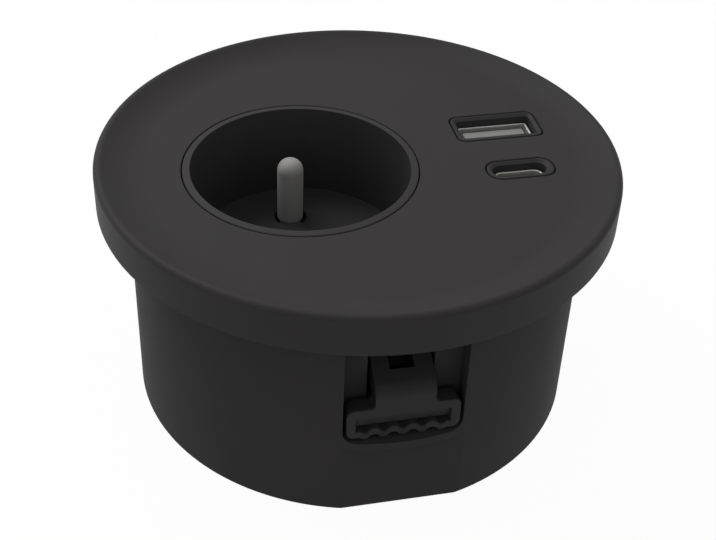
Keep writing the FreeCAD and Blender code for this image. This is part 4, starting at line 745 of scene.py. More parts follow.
@dataclass
class TopCover:
    """Round cover: a flat plate in a shallow dish whose rim rolls over into the upright edge."""

    workshop: Workshop
    flange_radius: float = 45.0
    flange_height: float = 7.2
    edge_round: float = 1.0
    edge_steps: int = 10
    dish_radius: float = 13.4429
    dish_steps: int = 12
    flat_edge: float = 36.5
    flat_ring: float = 0.4
    lip_width: float = 2.2
    groove_width: float = 1.5
    groove_depth: float = 3.2
    spigot_inner: float = 35.85
    spigot_outer: float = 37.45
    spigot_height: float = 3.5
    foot_round: float = 0.1
    foot_steps: int = 3
    notch_inner: float = 23.4
    notch_outer: float = 39.0
    roof_outer: float = 38.3
    roof_root: float = 0.4
    boss_radius: float = 3.0
    lug_boss_low: float = -1.5
    lug_pilot: float = 1.24
    lug_pilot_top: float = 3.54
    column_pilot: float = 1.44
    column_pilot_top: float = 3.94

    def profile(self) -> Outline:
        """Draws half of the cover's section.

        Returns:
            Radius and height of each point, from the axis below to the axis above.
        """
        flat, under, foot_round, foot_steps = SIZES.flat, SIZES.under_plate, self.foot_round, self.foot_steps
        groove_outer = self.flange_radius - self.lip_width
        groove_inner = groove_outer - self.groove_width
        edge_centre = (self.flange_radius - self.edge_round, self.flange_height - self.edge_round)
        dish_centre = (self.flat_edge, flat + self.dish_radius)
        meet = math.degrees(math.atan2(dish_centre[1] - edge_centre[1], edge_centre[0] - dish_centre[0]))
        edge = arc(edge_centre, self.edge_round, 0, 180 - meet, self.edge_steps)
        dish = arc(dish_centre, self.dish_radius, -meet, -90, self.dish_steps)
        foot = arc((self.flange_radius - foot_round, foot_round), foot_round, -90, 0, foot_steps)
        lip = arc((groove_outer + foot_round, foot_round), foot_round, 180, 270, foot_steps)
        return [
            (0, under), (self.spigot_inner, under), (self.spigot_inner, -self.spigot_height),
            (self.spigot_outer, -self.spigot_height), (self.spigot_outer, 0), (groove_inner, 0),
            (groove_inner, self.groove_depth), (groove_outer, self.groove_depth),
            *lip, *foot, *edge, *dish[1:], (self.flat_edge - self.flat_ring, flat), (0, flat),
        ]

    def hole(self, name: str, outline: Outline) -> bpy.types.Object:
        """Makes the cutter of a hole in the plate, with a broken edge at the top.

        Args:
            name: Name of the cutter.
            outline: The hole's outline at the plate's top, as wide as its broken edge.

        Returns:
            The cutter.
        """
        depth = SIZES.flat - SIZES.under_plate + BEYOND
        return grow(name, outline, Plane.TOP, SIZES.flat + BEYOND, [
            (0, -BEYOND), (SIZES.edge, -SIZES.edge), (0, SIZES.edge - depth)])

    def cover_pocket(self, cover: bpy.types.Object, side: int) -> None:
        """Cuts the spigot away over one claw pocket and closes the pocket with a roof.

        Args:
            cover: The cover.
            side: 1 at the back and -1 at the front.
        """
        rim, ledge = SIZES.pocket_half + SIZES.pocket_wall, SIZES.pocket_back - SIZES.pocket_wall
        near, far = span(self.notch_inner, self.notch_outer, side)
        combine(cover, Joining.CUT, grow(
            "notch", box(-rim - BEYOND, rim + BEYOND, near, far), Plane.TOP, -self.spigot_height - BEYOND,
            [(0, self.spigot_height + BEYOND)]))
        near, far = span(ledge, self.roof_outer, side)
        combine(cover, Joining.ADD, grow(
            "roof", box(-rim, rim, near, far), Plane.TOP, 0, [(0, SIZES.under_plate + self.roof_root)]))

    def add_boss(self, cover: bpy.types.Object, place: Point, low: float, pilot: float, top: float) -> None:
        """Adds a boss under the plate and cuts its screw's pilot hole.

        Args:
            cover: The cover.
            place: Where the screw stands.
            low: The boss's lower end.
            pilot: The pilot hole's radius.
            top: Where the pilot hole ends.
        """
        start = low - BEYOND
        combine(cover, Joining.ADD, grow("boss", circle(*place, self.boss_radius), Plane.TOP, low,
                                         [(0, SIZES.under_plate + BEYOND - low)]))
        combine(cover, Joining.CUT, grow("pilot", circle(*place, pilot), Plane.TOP, start,
                                         [(0, top - start)]))

    def build(self) -> None:
        """Models the cover and dresses it."""
        cover = turn("cover_plate", self.profile())
        for side in (1, -1):
            self.cover_pocket(cover, side)
        around_well, around = SIZES.gap + SIZES.edge, SIZES.port_gap + SIZES.edge
        combine(
            cover, Joining.CUT,
            self.hole("well_hole", circle(SIZES.well_x, 0, SIZES.well_ring + around_well, MIDDLE_TURN)),
            self.hole("wide_hole", widened(*SIZES.wide_boss_at, SIZES.wide_boss, around, around)),
            self.hole("narrow_hole", widened(*SIZES.narrow_boss_at, SIZES.narrow_boss, around, around)),
        )
        for place in SIZES.lug_holes() + SIZES.port_lugs():
            self.add_boss(cover, place, self.lug_boss_low, self.lug_pilot, self.lug_pilot_top)
        for place in SIZES.columns():
            self.add_boss(cover, place, 0, self.column_pilot, self.column_pilot_top)
        self.workshop.dress(cover, "cover_plastic", "root", "top_cover")


@dataclass
class SocketWell:
    """Round mains socket well with its flush ring, plug holes and earth pin."""

    workshop: Workshop
    radius: float = 18.88
    ring_rise: float = 0.15
    bottom: float = -12.2
    floor: float = 3.0
    collar_radius: float = 21.4
    collar_height: float = 1.8
    mouth_round: float = 0.1
    floor_round: float = 0.12
    half_spacing: float = 9.5
    plug_hole: float = 2.6
    plug_funnel: float = 0.5
    earth_y: float = 10.0
    earth_radius: float = 2.34
    earth_shift: float = -0.08
    earth_rise: float = 12.4
    earth_gap: float = 0.6
    earth_broken: float = 0.12
    dome_steps: int = 14
    neck_slimmer: float = 0.5
    neck_rise: float = 0.1
    shoulder_wider: float = 1.2
    shoulder_height: float = 1.6
    stem_slimmer: float = 0.4
    carrier_height: float = 11.8
    strap_thickness: float = 0.6
    rivet_wider: float = 0.4
    rivet_height: float = 0.8
    rivet_edge: float = 0.3
    lug_radius: float = 3.2
    lug_root: float = 0.7
    lug_drop: float = 4.0
    lug_thickness: float = 2.0

    def build(self) -> None:
        """Models the well and its pin, and dresses them."""
        self.workshop.dress(self.well(), "well_plastic", "root", "socket_insert")
        self.workshop.dress(self.pin(), "earth_metal", "root", "earth_pin")

    def well(self) -> bpy.types.Object:
        """Models the well with its ring, its lugs and the holes in its floor.

        Returns:
            The well.
        """
        x, ring, flat, under = SIZES.well_x, SIZES.well_ring, SIZES.flat, SIZES.under_plate
        low, edge, mouth, foot = self.bottom - self.floor, SIZES.edge, self.mouth_round, self.floor_round
        well = turn("socket_well", [
            (0, low), (ring - edge, low), (ring, low + edge), (ring, under - self.collar_height),
            (self.collar_radius, under - self.collar_height), (self.collar_radius, under), (ring, under),
            (ring, flat - edge), (ring - edge, flat),
            *arc((self.radius + mouth, flat + self.ring_rise - mouth), mouth, 90, 180, EDGE_STEPS),
            *arc((self.radius - foot, self.bottom + foot), foot, 0, -90, EDGE_STEPS),
            (0, self.bottom),
        ], (x, 0))
        self.add_lugs(well)
        for side in (1, -1):
            place = (x + self.half_spacing * side, 0)
            combine(well, Joining.CUT, self.floor_hole("plug_hole", place, self.plug_hole, self.plug_funnel))
        earth_hole = self.floor_hole("earth_hole", (x, self.earth_y), self.earth_radius + self.earth_gap,
                                     self.earth_broken)
        return combine(well, Joining.CUT, earth_hole)

    def add_lugs(self, well: bpy.types.Object) -> None:
        """Adds the four lugs that hold the well to the cover, with their screw holes.

        Args:
            well: The well.
        """
        x, low = SIZES.well_x, SIZES.under_plate - self.lug_drop - self.lug_thickness
        near, far, half = SIZES.well_ring - self.lug_root, SIZES.lug_place * math.sqrt(2), self.lug_radius
        end = arc((x + far, 0), half, -90, 90, CORNER_STEPS * 2)[1:]
        tongue = [(x + near, -half), (x + far, -half), *end, (x + near, half)]
        for turned in range(45, 360, 90):
            combine(well, Joining.ADD, grow("lug", turned_about(tongue, (x, 0), turned), Plane.TOP, low,
                                            [(0, self.lug_thickness)]))
        for place in SIZES.lug_holes():
            combine(well, Joining.CUT, grow("lug_hole", circle(*place, SIZES.screw_hole), Plane.TOP,
                                            low - BEYOND * 2, [(0, self.lug_thickness + BEYOND * 4)]))

    def floor_hole(self, name: str, place: Point, radius: float, broken: float) -> bpy.types.Object:
        """Makes the cutter of a round hole in the well's floor.

        Args:
            name: Name of the cutter.
            place: Middle of the hole.
            radius: Its radius below its broken edge.
            broken: Width and depth of its broken edge.

        Returns:
            The cutter.
        """
        return grow(name, circle(*place, radius + broken), Plane.TOP, self.bottom + BEYOND,
                    [(0, -BEYOND), (broken, -broken), (0, -self.floor - BEYOND)])

    def pin(self) -> bpy.types.Object:
        """Models the earth pin: domed top, slim neck, shoulder under the floor and riveted lower end.

        Returns:
            The pin.
        """
        radius, foot, shoulder = self.earth_radius, self.bottom + self.neck_rise, self.bottom - self.floor
        neck, wide = radius - self.neck_slimmer, radius + self.shoulder_wider
        stem, rivet = radius - self.stem_slimmer, radius + self.rivet_wider
        shoulder_low = shoulder - self.shoulder_height
        plate = shoulder - self.carrier_height - self.strap_thickness
        end = plate - self.rivet_height
        return turn("earth_prong", [
            (0, end), (radius, end), (rivet, end + self.rivet_edge), (rivet, plate),
            (stem, plate), (stem, shoulder_low), (wide, shoulder_low), (wide, shoulder),
            (neck, shoulder), (neck, foot), (radius, foot),
            *arc((0, self.bottom + self.earth_rise - radius), radius, 0, 90, self.dome_steps),
        ], (SIZES.well_x + self.earth_shift, self.earth_y), SMALL_TURN)


@dataclass
class ChargingPorts:
    """Charging module: its case with a boss for each port, the metal shells and their tongues."""

    workshop: Workshop
    case_left: float = 17.7
    case_front: float = 11.0
    case_back: float = 13.35
    case_radius: float = 35.6
    case_steps: int = 16
    case_wall: float = 0.8
    case_roof: float = 1.5
    lug_radius: float = 3.2
    lug_root: float = 0.4
    lug_low: float = -3.5
    lug_thickness: float = 2.0
    board_top: float = -10.3
    wide_shell: RoundedSize = (13.1, 5.7, 0.6)
    narrow_shell: RoundedSize = (8.94, 3.26, 1.63)
    shell_wall: float = 0.35
    shell_gap: float = 0.08
    shell_top: float = 3.45
    rim_round: float = 0.09
    rim_first: float = 0.4
    mouth_past_ends: float = 0.38
    mouth_past_sides: float = 0.13
    slope_width: float = 0.55
    slope_depth: float = 0.4
    wide_tongue: RoundedSize = (11.4, 1.9, 0.35)
    narrow_tongue: RoundedSize = (6.6, 0.75, 0.25)
    tongue_top: float = 2.95
    tongue_root: float = 2.5
    tongue_shift: float = 0.9
    tongue_tip: tuple[Step, Step] = ((0.06, 0.14), (0.12, 0.06))
    insert_height: float = 4.9
    insert_corner: float = 0.3
    insert_edge: float = 0.1
    wide_strip: RoundedSize = (1.0, 6.4, 0.3)
    wide_strip_at: Point = (-3.5, -1.2)
    wide_strip_shifts: tuple[float, ...] = (2.5, 4.5, 7.0)
    wide_strip_thickness: float = 0.16
    wide_strip_proud: float = 0.06
    narrow_strip: RoundedSize = (0.3, 6.2, 0.1)
    narrow_strip_at: Point = (-2.5, -0.9)
    narrow_strip_shifts: tuple[float, ...] = (1.0, 2.0, 3.0, 4.0, 5.0)
    narrow_strip_thickness: float = 0.8

    def build(self) -> None:
        """Models the case, shells, tongues and contact strips, and dresses them."""
        wide_y, narrow_y, dress = SIZES.wide_y, SIZES.narrow_y, self.workshop.dress
        dress(self.case(), "port_plastic", "root", "usb_module_case")
        for name, y, sizes, node in (("wide_port_shell", wide_y, self.wide_shell, "usb_a_shell"),
                                     ("narrow_port_shell", narrow_y, self.narrow_shell, "usb_c_shell")):
            dress(self.shell(name, y, sizes), "port_metal", "root", node)
        wide = self.tongue("wide_port_tongue", wide_y, self.wide_shell, self.wide_tongue, self.tongue_shift)
        dress(wide, "tongue_plastic", "root", "usb_a_tongue")
        narrow = self.tongue("narrow_port_tongue", narrow_y, self.narrow_shell, self.narrow_tongue, 0.0)
        dress(narrow, "tongue_plastic", "root", "usb_c_tongue")
        near_face = wide_y + self.tongue_shift - self.wide_tongue[1] / 2
        self.lay_strips("wide_port_contact", self.wide_strip_at, self.wide_strip,
                        near_face - self.wide_strip_proud, self.wide_strip_thickness, self.wide_strip_shifts)
        self.lay_strips("narrow_port_contact", self.narrow_strip_at, self.narrow_strip,
                        narrow_y - self.narrow_strip_thickness / 2, self.narrow_strip_thickness,
                        self.narrow_strip_shifts)

    def outline(self, inset: float) -> Outline:
        """Draws the case's outline: straight, and round beside the body's wall.

        Args:
            inset: How far it is drawn in.

        Returns:
            The outline.
        """
        radius = self.case_radius - inset
        front, back = -self.case_front + inset, self.case_back - inset
        start, end = math.degrees(math.asin(front / radius)), math.degrees(math.asin(back / radius))
        return [(self.case_left + inset, front), *arc((0, 0), radius, start, end, self.case_steps),
                (self.case_left + inset, back)]

    def case(self) -> bpy.types.Object:
        """Models the case with its two bosses flush with the plate.

        Returns:
            The case.
        """
        flat, under, edge, low = SIZES.flat, SIZES.under_plate, SIZES.edge, self.board_top
        case = grow("port_block", self.outline(0), Plane.TOP, low, [(0, under - low)])
        for side in (1, -1):
            self.add_lug(case, side)
        combine(case, Joining.CUT, grow("hollow", self.outline(self.case_wall), Plane.TOP, low - BEYOND,
                                        [(0, under - self.case_roof - low + BEYOND)]))
        for y, place, boss, shell in (
                (SIZES.wide_y, SIZES.wide_boss_at, SIZES.wide_boss, self.wide_shell),
                (SIZES.narrow_y, SIZES.narrow_boss_at, SIZES.narrow_boss, self.narrow_shell)):
            combine(case, Joining.ADD, grow("boss", rounded_box(*place, *boss), Plane.TOP, under - BEYOND,
                                            [(0, flat - under + BEYOND - edge), (edge, edge)]))
            mouth = widened(SIZES.port_x, y, shell, self.mouth_past_ends + self.slope_width,
                            self.mouth_past_sides + self.slope_width)
            # Each hole runs down past the case's round wall, which the wide shell's corner reaches
            combine(case, Joining.CUT, grow("funnel", mouth, Plane.TOP, flat + BEYOND, [
                (0, -BEYOND), (self.slope_width, -self.slope_depth), (0, low - flat - BEYOND)]))
        return case

    def add_lug(self, case: bpy.types.Object, side: int) -> None:
        """Adds one of the case's two lugs, with its screw hole.

        Args:
            case: The case.
            side: 1 at the back and -1 at the front.
        """
        near = (self.case_back if side > 0 else self.case_front) - self.lug_root
        x, y, half, start = SIZES.port_x, SIZES.port_lug_y * side, self.lug_radius * side, 90 + 90 * side
        lug = [(x - half, near * side), (x - half, y),
               *arc((x, y), self.lug_radius, start, start - 180, CORNER_STEPS * 2)[1:-1],
               (x + half, y), (x + half, near * side)]
        combine(case, Joining.ADD, grow("lug", lug, Plane.TOP, self.lug_low, [(0, self.lug_thickness)]))
        combine(case, Joining.CUT, grow("hole", circle(x, y, SIZES.screw_hole), Plane.TOP,
                                        self.lug_low - BEYOND * 2, [(0, self.lug_thickness + BEYOND * 4)]))

    def shell(self, name: str, y: float, sizes: RoundedSize) -> bpy.types.Object:
        """Models one port's metal shell, an open sleeve with a rounded upper rim.

        Args:
            name: Name of the piece.
            y: Its middle along Y.
            sizes: Outside length, width and corner radius.

        Returns:
            The shell.
        """
        rim, height = self.rim_round, self.shell_top - self.board_top
        shell = grow(name, rounded_box(SIZES.port_x, y, *sizes), Plane.TOP, self.board_top,
                     [(0, height - rim), *rounding(rim, 1, self.rim_first)])
        inwards = rim - self.shell_wall
        bore = grow("bore", widened(SIZES.port_x, y, sizes, inwards, inwards), Plane.TOP,
                    self.shell_top + BEYOND, [(0, -BEYOND), (rim, -rim), (0, rim - height - BEYOND)])
        return combine(shell, Joining.CUT, bore)

    def tongue(self, name: str, y: float, shell: RoundedSize, sizes: RoundedSize,
               shift: float) -> bpy.types.Object:
        """Models the moulded insert of a port.

        Args:
            name: Name of the piece.
            y: Middle of the port along Y.
            shell: Length, width and corner radius of the port's shell.
            sizes: Length, thickness and corner radius of the tongue.
            shift: Tongue off the port's middle along Y.

        Returns:
            The insert: a block at the bottom with the tongue standing on it.
        """
        fit, edge = self.shell_wall + self.shell_gap, self.insert_edge
        low = self.board_top + self.tongue_root
        length, width, corner = shell
        insert = rounded_box(SIZES.port_x, y, length - fit * 2, width - fit * 2,
                             max(corner - fit, self.insert_corner))
        block = grow(name, insert, Plane.TOP, self.board_top, [(0, self.insert_height), (edge, edge)])
        rise = self.tongue_top - low - sum(move for _, move in self.tongue_tip)
        blade = grow("blade", rounded_box(SIZES.port_x, y + shift, *sizes), Plane.TOP, low,
                     [(0, rise), *self.tongue_tip])
        return combine(block, Joining.ADD, blade)

    def lay_strips(self, name: str, first: Point, sizes: RoundedSize, near: float, thickness: float,
                   shifts: Sequence[float]) -> None:
        """Lays one port's thin contact strips side by side.

        Args:
            name: Name of the strips, without their number.
            first: Middle of the first strip across the port and upwards, seen from the front.
            sizes: Width, height and corner radius of a strip.
            near: Where the strips start along Y.
            thickness: How thick they are.
            shifts: How far each other strip lies from the first.
        """
        strip = grow(name + "_1", rounded_box(SIZES.port_x + first[0], first[1], *sizes), Plane.FRONT, near,
                     [(0, thickness)])
        self.workshop.dress(strip, "contact_brass", "root")
        for number, shift in enumerate(shifts, start=2):
            copy = copy_of(strip, "%s_%d" % (name, number), Matrix.Translation((shift * MM, 0, 0)))
            self.workshop.dress(copy, "contact_brass", "root")


@dataclass
class CableInlet:
    """Where the mains cable comes in: the seats of its bush, the clamp's cradle, and the bush itself."""

    y: float = 22.5
    cable_radius: float = 4.5
    neck_wall: float = 1.3
    flange_wall: float = 3.0
    flange_thickness: float = 1.0
    inner_lip: float = 1.2
    inner_end: float = 2.4
    roll: float = 0.4
    seat_radius: float = 7.6
    seat_depth: float = 1.1
    neck_seat_radius: float = 5.9
    neck_seat_depth: float = 5.2
    inner_seat_depth: float = 1.3
    cradle_half: float = 10.5
    cradle_near: float = 1.0
    cradle_far: float = 9.0
    cradle_height: float = 9.8
    cradle_edge: float = 0.2
    groove_half: float = 4.9
    groove_depth: float = 4.7
    groove_foot_half: float = 2.6
    groove_height: float = 10.5
    screw_x: float = 7.6
    screw_rise: float = 5.5
    screw_pilot: float = 1.24
    screw_pilot_depth: float = 9.5

    def open_in(self, base: bpy.types.Object) -> None:
        """Adds the clamp's cradle to the bottom cover, and cuts the cable's way through it.

        Args:
            base: The bottom cover.
        """
        y, low, top, edge = self.y, -SIZES.body_height, SIZES.base_top, self.cradle_edge
        near, half, foot = y + self.cradle_near, self.groove_half, self.groove_foot_half
        groove = [(-half, near), (-half, y), (half, y), (half, near), (foot, y + self.groove_depth),
                  (-foot, y + self.groove_depth)]
        seat = circle(0, y, self.seat_radius, MIDDLE_TURN)
        neck = circle(0, y, self.neck_seat_radius, MIDDLE_TURN)
        combine(base, Joining.ADD, grow(
            "cradle", box(-self.cradle_half, self.cradle_half, near, y + self.cradle_far), Plane.TOP,
            top - BEYOND, [(0, self.cradle_height + BEYOND), (edge, edge)]))
        combine(base, Joining.CUT,
                grow("flange_seat", seat, Plane.TOP, low - BEYOND, [(0, self.seat_depth + BEYOND)]),
                grow("neck_seat", neck, Plane.TOP, low - BEYOND, [(0, self.neck_seat_depth)]),
                grow("inner_seat", seat, Plane.TOP, top, [(0, self.inner_seat_depth)]),
                grow("groove", groove, Plane.TOP, top, [(0, self.groove_height)]))
        for x in (self.screw_x, -self.screw_x):
            pilot = circle(x, top + self.screw_rise, self.screw_pilot, TINY_TURN)
            combine(base, Joining.CUT, grow("pilot", pilot, Plane.FRONT, y, [(0, self.screw_pilot_depth)]))

    def bush(self) -> bpy.types.Object:
        """Models the soft bush with its rolled lips.

        Returns:
            The bush.
        """
        low, inner, roll, bore = -SIZES.body_height, SIZES.base_top, self.roll, self.cable_radius
        neck, flange, seat = bore + self.neck_wall, bore + self.flange_wall, low + self.flange_thickness
        lip, end = inner + self.inner_lip, inner + self.inner_end
        return turn("cable_bush_ring", [
            *arc((bore + roll, low + roll), roll, 180, 270, EDGE_STEPS),
            *arc((flange - roll, low + roll), roll, -90, 0, EDGE_STEPS),
            (flange, seat), (neck, seat), (neck, inner), (flange, inner),
            *arc((flange - roll, lip - roll), roll, 0, 90, EDGE_STEPS), (neck, lip),
            *arc((neck - roll, end - roll), roll, 0, 90, EDGE_STEPS),
            *arc((bore + roll, end - roll), roll, 90, 180, EDGE_STEPS),
        ], (0, self.y), MIDDLE_TURN)


@dataclass
class CoverScrew:
    """Long screw of the bottom cover, with a cross recess in its head and a cut thread at its end."""

    top: float = 3.9
    shank: float = 1.4
    head: float = 2.8
    head_height: float = 1.2
    head_round: float = 0.3
    thread_length: float = 9.0
    thread_depth: float = 0.28
    pitch: float = 0.6
    run_out: float = 0.4
    tip: float = 0.5
    tip_length: float = 1.0
    cross_half: float = 1.6
    cross_half_width: float = 0.35
    cross_taper: float = 0.12
    cross_depth: float = 0.85

    def build(self, name: str) -> bpy.types.Object:
        """Models the screw on the axis.

        Args:
            name: Name of the piece.

        Returns:
            The screw.
        """
        low, top, head, shank, bend = -SIZES.body_height, self.top, self.head, self.shank, self.head_round
        root, under_head = shank - self.thread_depth, low + self.head_height
        threaded = top - self.thread_length
        thread: Outline = []
        crest = threaded
        while crest < top - self.tip_length:
            thread += [(root, crest), (shank, crest + self.pitch / 2), (root, crest + self.pitch)]
            crest += self.pitch
        screw = turn(name, [
            (0, low), *arc((head - bend, low + bend), bend, -90, 0, EDGE_STEPS), (head, under_head),
            (shank, under_head), (shank, threaded - self.run_out), *thread, (self.tip, top), (0, top),
        ], (0, 0), SMALL_TURN)
        cross = box(-self.cross_half, self.cross_half, -self.cross_half_width, self.cross_half_width)
        for turned in (0, 90):
            combine(screw, Joining.CUT, grow(
                "blade", turned_about(cross, (0, 0), turned), Plane.TOP, low - BEYOND,
                [(0, BEYOND), (self.cross_taper, self.cross_depth)]))
        return screw


@dataclass
class BodyShell:
    """Body below the desk, its bottom cover with screws, and the cable's inlet."""

    workshop: Workshop
    inlet: CableInlet = field(default_factory=CableInlet)
    cover_screw: CoverScrew = field(default_factory=CoverScrew)
    foot_edge: float = 0.1
    skin: float = 1.0
    block_steps: int = 24
    pocket_drop: float = 23.6
    pocket_floor: float = 1.8
    pocket_corner: float = 2.2
    pocket_face: float = 34.65
    slot_low: float = -18.0
    slot_high: float = -1.6
    flat_y: float = 38.3
    flat_top: float = -25.1
    flat_half: float = 12.5
    flat_wall: float = 1.8
    ear_thickness: float = 2.5
    ear_half: float = 3.8
    ear_lead: float = 0.3
    ear_steps: int = 16
    pin_hole: float = 1.27
    leaf_y: float = 24.65
    leaf_half: float = 7.25
    leaf_gap: float = 0.05
    leaf_thickness: float = 0.45
    leaf_rise: float = 0.8
    column_radius: float = 3.0
    screw_way: float = 1.55
    rib_start: float = 1.5
    rib_half: float = 0.9
    rib_drop: float = 3.8
    base_gap: float = 0.15
    base_thickness: float = 2.0
    base_edge: float = 0.2
    base_steps: int = 72
    recess_radius: float = 2.95
    recess_depth: float = 1.24
    way_depth: float = 4.0

    def build(self) -> None:
        """Models the body's pieces and dresses them."""
        self.workshop.dress(self.shell(), "housing_plastic", "root", "housing")
        self.workshop.dress(self.base(), "housing_plastic", "root", "bottom_cover")
        self.workshop.dress(self.inlet.bush(), "bush_rubber", "root", "cable_bush")
        pattern = self.cover_screw.build("screw_pattern")
        for number, (x, y) in enumerate(SIZES.columns(), start=1):
            piece = copy_of(pattern, "cover_screw_%d" % number, Matrix.Translation((x * MM, y * MM, 0)))
            self.workshop.dress(piece, "screw_steel", "root", "cover_screws")
        discard(pattern)

    def shell(self) -> bpy.types.Object:
        """Models the body: a round wall with a claw pocket, hinge ears and a flat on each side.

        Returns:
            The body.
        """
        depth, outer, bore, edge = SIZES.body_height, SIZES.body_radius, SIZES.body_bore, self.foot_edge
        shell = turn("body_shell", [
            (bore, -depth + edge), (bore + edge, -depth), (outer - edge, -depth), (outer, -depth + edge),
            (outer, -SIZES.edge), (outer - SIZES.edge, 0), (bore, 0),
        ])
        for side in (1, -1):
            self.add_pocket(shell, side)
            self.add_ears(shell, side)
        for place in SIZES.columns():
            self.add_column(shell, place)
        return shell

    def add_pocket(self, shell: bpy.types.Object, side: int) -> None:
        """Thickens the wall on one side, and cuts the flat, the claw's pocket and the neck's slot there.

        Args:
            shell: The body.
            side: 1 at the back and -1 at the front.
        """
        half, depth, outside = SIZES.pocket_half, SIZES.body_height, SIZES.body_radius + BEYOND * 2
        drop, corner, inner = self.pocket_drop, self.pocket_corner, SIZES.pocket_back - SIZES.pocket_wall
        floor = -drop - self.pocket_floor
        combine(shell, Joining.ADD,
                self.wall_block(side, half + SIZES.pocket_wall, inner, floor, 0),
                self.wall_block(side, self.flat_half, self.flat_y - self.flat_wall, SIZES.base_top, floor))
        near, far = span(self.flat_y, outside, side)
        combine(shell, Joining.CUT, grow(
            "flat", box(-self.flat_half, self.flat_half, near, far), Plane.TOP, -depth - BEYOND,
            [(0, depth + BEYOND + self.flat_top)]))
        mouth = [(-half, BEYOND), *arc((-half + corner, -drop + corner), corner, 180, 270, CORNER_STEPS),
                 *arc((half - corner, -drop + corner), corner, 270, 360, CORNER_STEPS), (half, BEYOND)]
        near, far = span(self.pocket_face, outside, side)
        combine(shell, Joining.CUT, grow("pocket", mouth, Plane.FRONT, near, [(0, far - near)]))
        near, far = span(inner - BEYOND, self.pocket_face + BEYOND, side)
        combine(shell, Joining.CUT, grow(
            "slot", box(-SIZES.slot_half, SIZES.slot_half, self.slot_low, self.slot_high), Plane.FRONT,
            near, [(0, far - near)]))

    def wall_block(self, side: int, half: float, inner: float, low: float, high: float) -> bpy.types.Object:
        """Models a block that grows inwards from the round wall.

        Args:
            side: 1 at the back and -1 at the front.
            half: Half its width along X.
            inner: Where its inner face lies along Y.
            low: Its lower end.
            high: Its upper end.

        Returns:
            The block, whose outer face lies inside the wall.
        """
        radius, middle = SIZES.body_radius - self.skin, 90 * side
        reach = math.degrees(math.asin(half / radius))
        return grow("wall_block", [
            *arc((0, 0), radius, middle - reach, middle + reach, self.block_steps),
            (-half * side, inner * side), (half * side, inner * side),
        ], Plane.TOP, low, [(0, high - low)])

    def add_ears(self, shell: bpy.types.Object, side: int) -> None:
        """Adds the two hinge ears of one side, with the pin's holes and the leaf's slot.

        Args:
            shell: The body.
            side: 1 at the back and -1 at the front.
        """
        z, end, high = SIZES.hinge_z, SIZES.hinge_y - self.ear_lead, self.ear_half
        root, start = SIZES.pocket_back - SIZES.pocket_wall / 2, 90 * side
        ear = [*arc((end * side, z), high, start, start + 180, self.ear_steps),
               (root * side, z - high * side), (root * side, z + high * side)]
        for place in (SIZES.slot_half, -SIZES.slot_half - self.ear_thickness):
            combine(shell, Joining.ADD, grow("ear", ear, Plane.SIDE, place, [(0, self.ear_thickness)]))
        reach, pin = SIZES.slot_half + self.ear_thickness + BEYOND, (SIZES.hinge_y * side, z)
        combine(shell, Joining.CUT, grow(
            "pin_hole", circle(*pin, self.pin_hole, TINY_TURN), Plane.SIDE, -reach, [(0, reach * 2)]))
        near, far = span(self.leaf_y + self.leaf_gap, self.leaf_y - self.leaf_thickness, side)
        combine(shell, Joining.CUT, grow(
            "leaf_slot", box(-self.leaf_half, self.leaf_half, near, far), Plane.TOP,
            z - high + self.leaf_rise, [(0, high * 2 + BEYOND)]))

    def add_column(self, shell: bpy.types.Object, place: Point) -> None:
        """Adds one screw column with the rib that joins it to the wall.

        Args:
            shell: The body.
            place: Where the screw stands.
        """
        low, depth, (x, y) = SIZES.base_top, SIZES.body_height, place
        near, far = math.hypot(x, y) + self.rib_start, SIZES.body_bore + self.skin
        rib = turned_about(box(near, far, -self.rib_half, self.rib_half), (0, 0),
                           math.degrees(math.atan2(y, x)))
        combine(shell, Joining.ADD,
                grow("column", circle(x, y, self.column_radius), Plane.TOP, low, [(0, -low)]),
                grow("rib", rib, Plane.TOP, low, [(0, -self.rib_drop - low)]))
        combine(shell, Joining.CUT, grow("through", circle(x, y, self.screw_way, TINY_TURN), Plane.TOP,
                                         -depth - BEYOND * 2, [(0, depth + BEYOND * 4)]))

    def base(self) -> bpy.types.Object:
        """Models the bottom cover with its screw recesses and the cable's inlet.

        Returns:
            The bottom cover.
        """
        low, radius, edge = -SIZES.body_height, SIZES.body_bore - self.base_gap, self.base_edge
        reach = math.degrees(math.asin((self.flat_y - self.flat_wall - self.base_gap) / radius))
        disc = [*arc((0, 0), radius, -reach, reach, self.base_steps),
                *arc((0, 0), radius, 180 - reach, 180 + reach, self.base_steps)]
        # The face starts at the top and grows down, so that its last step breaks the lower edge
        base = grow("base_plate", disc, Plane.TOP, SIZES.base_top,
                    [(0, -self.base_thickness), (edge, -edge)])
        for x, y in SIZES.columns():
            recess = grow("recess", circle(x, y, self.recess_radius + edge), Plane.TOP, low - BEYOND,
                          [(0, BEYOND), (edge, edge), (0, self.recess_depth - edge)])
            through = grow("through", circle(x, y, self.screw_way, TINY_TURN), Plane.TOP, low - BEYOND,
                           [(0, self.way_depth)])
            combine(base, Joining.CUT, recess, through)
        self.inlet.open_in(base)
        return base


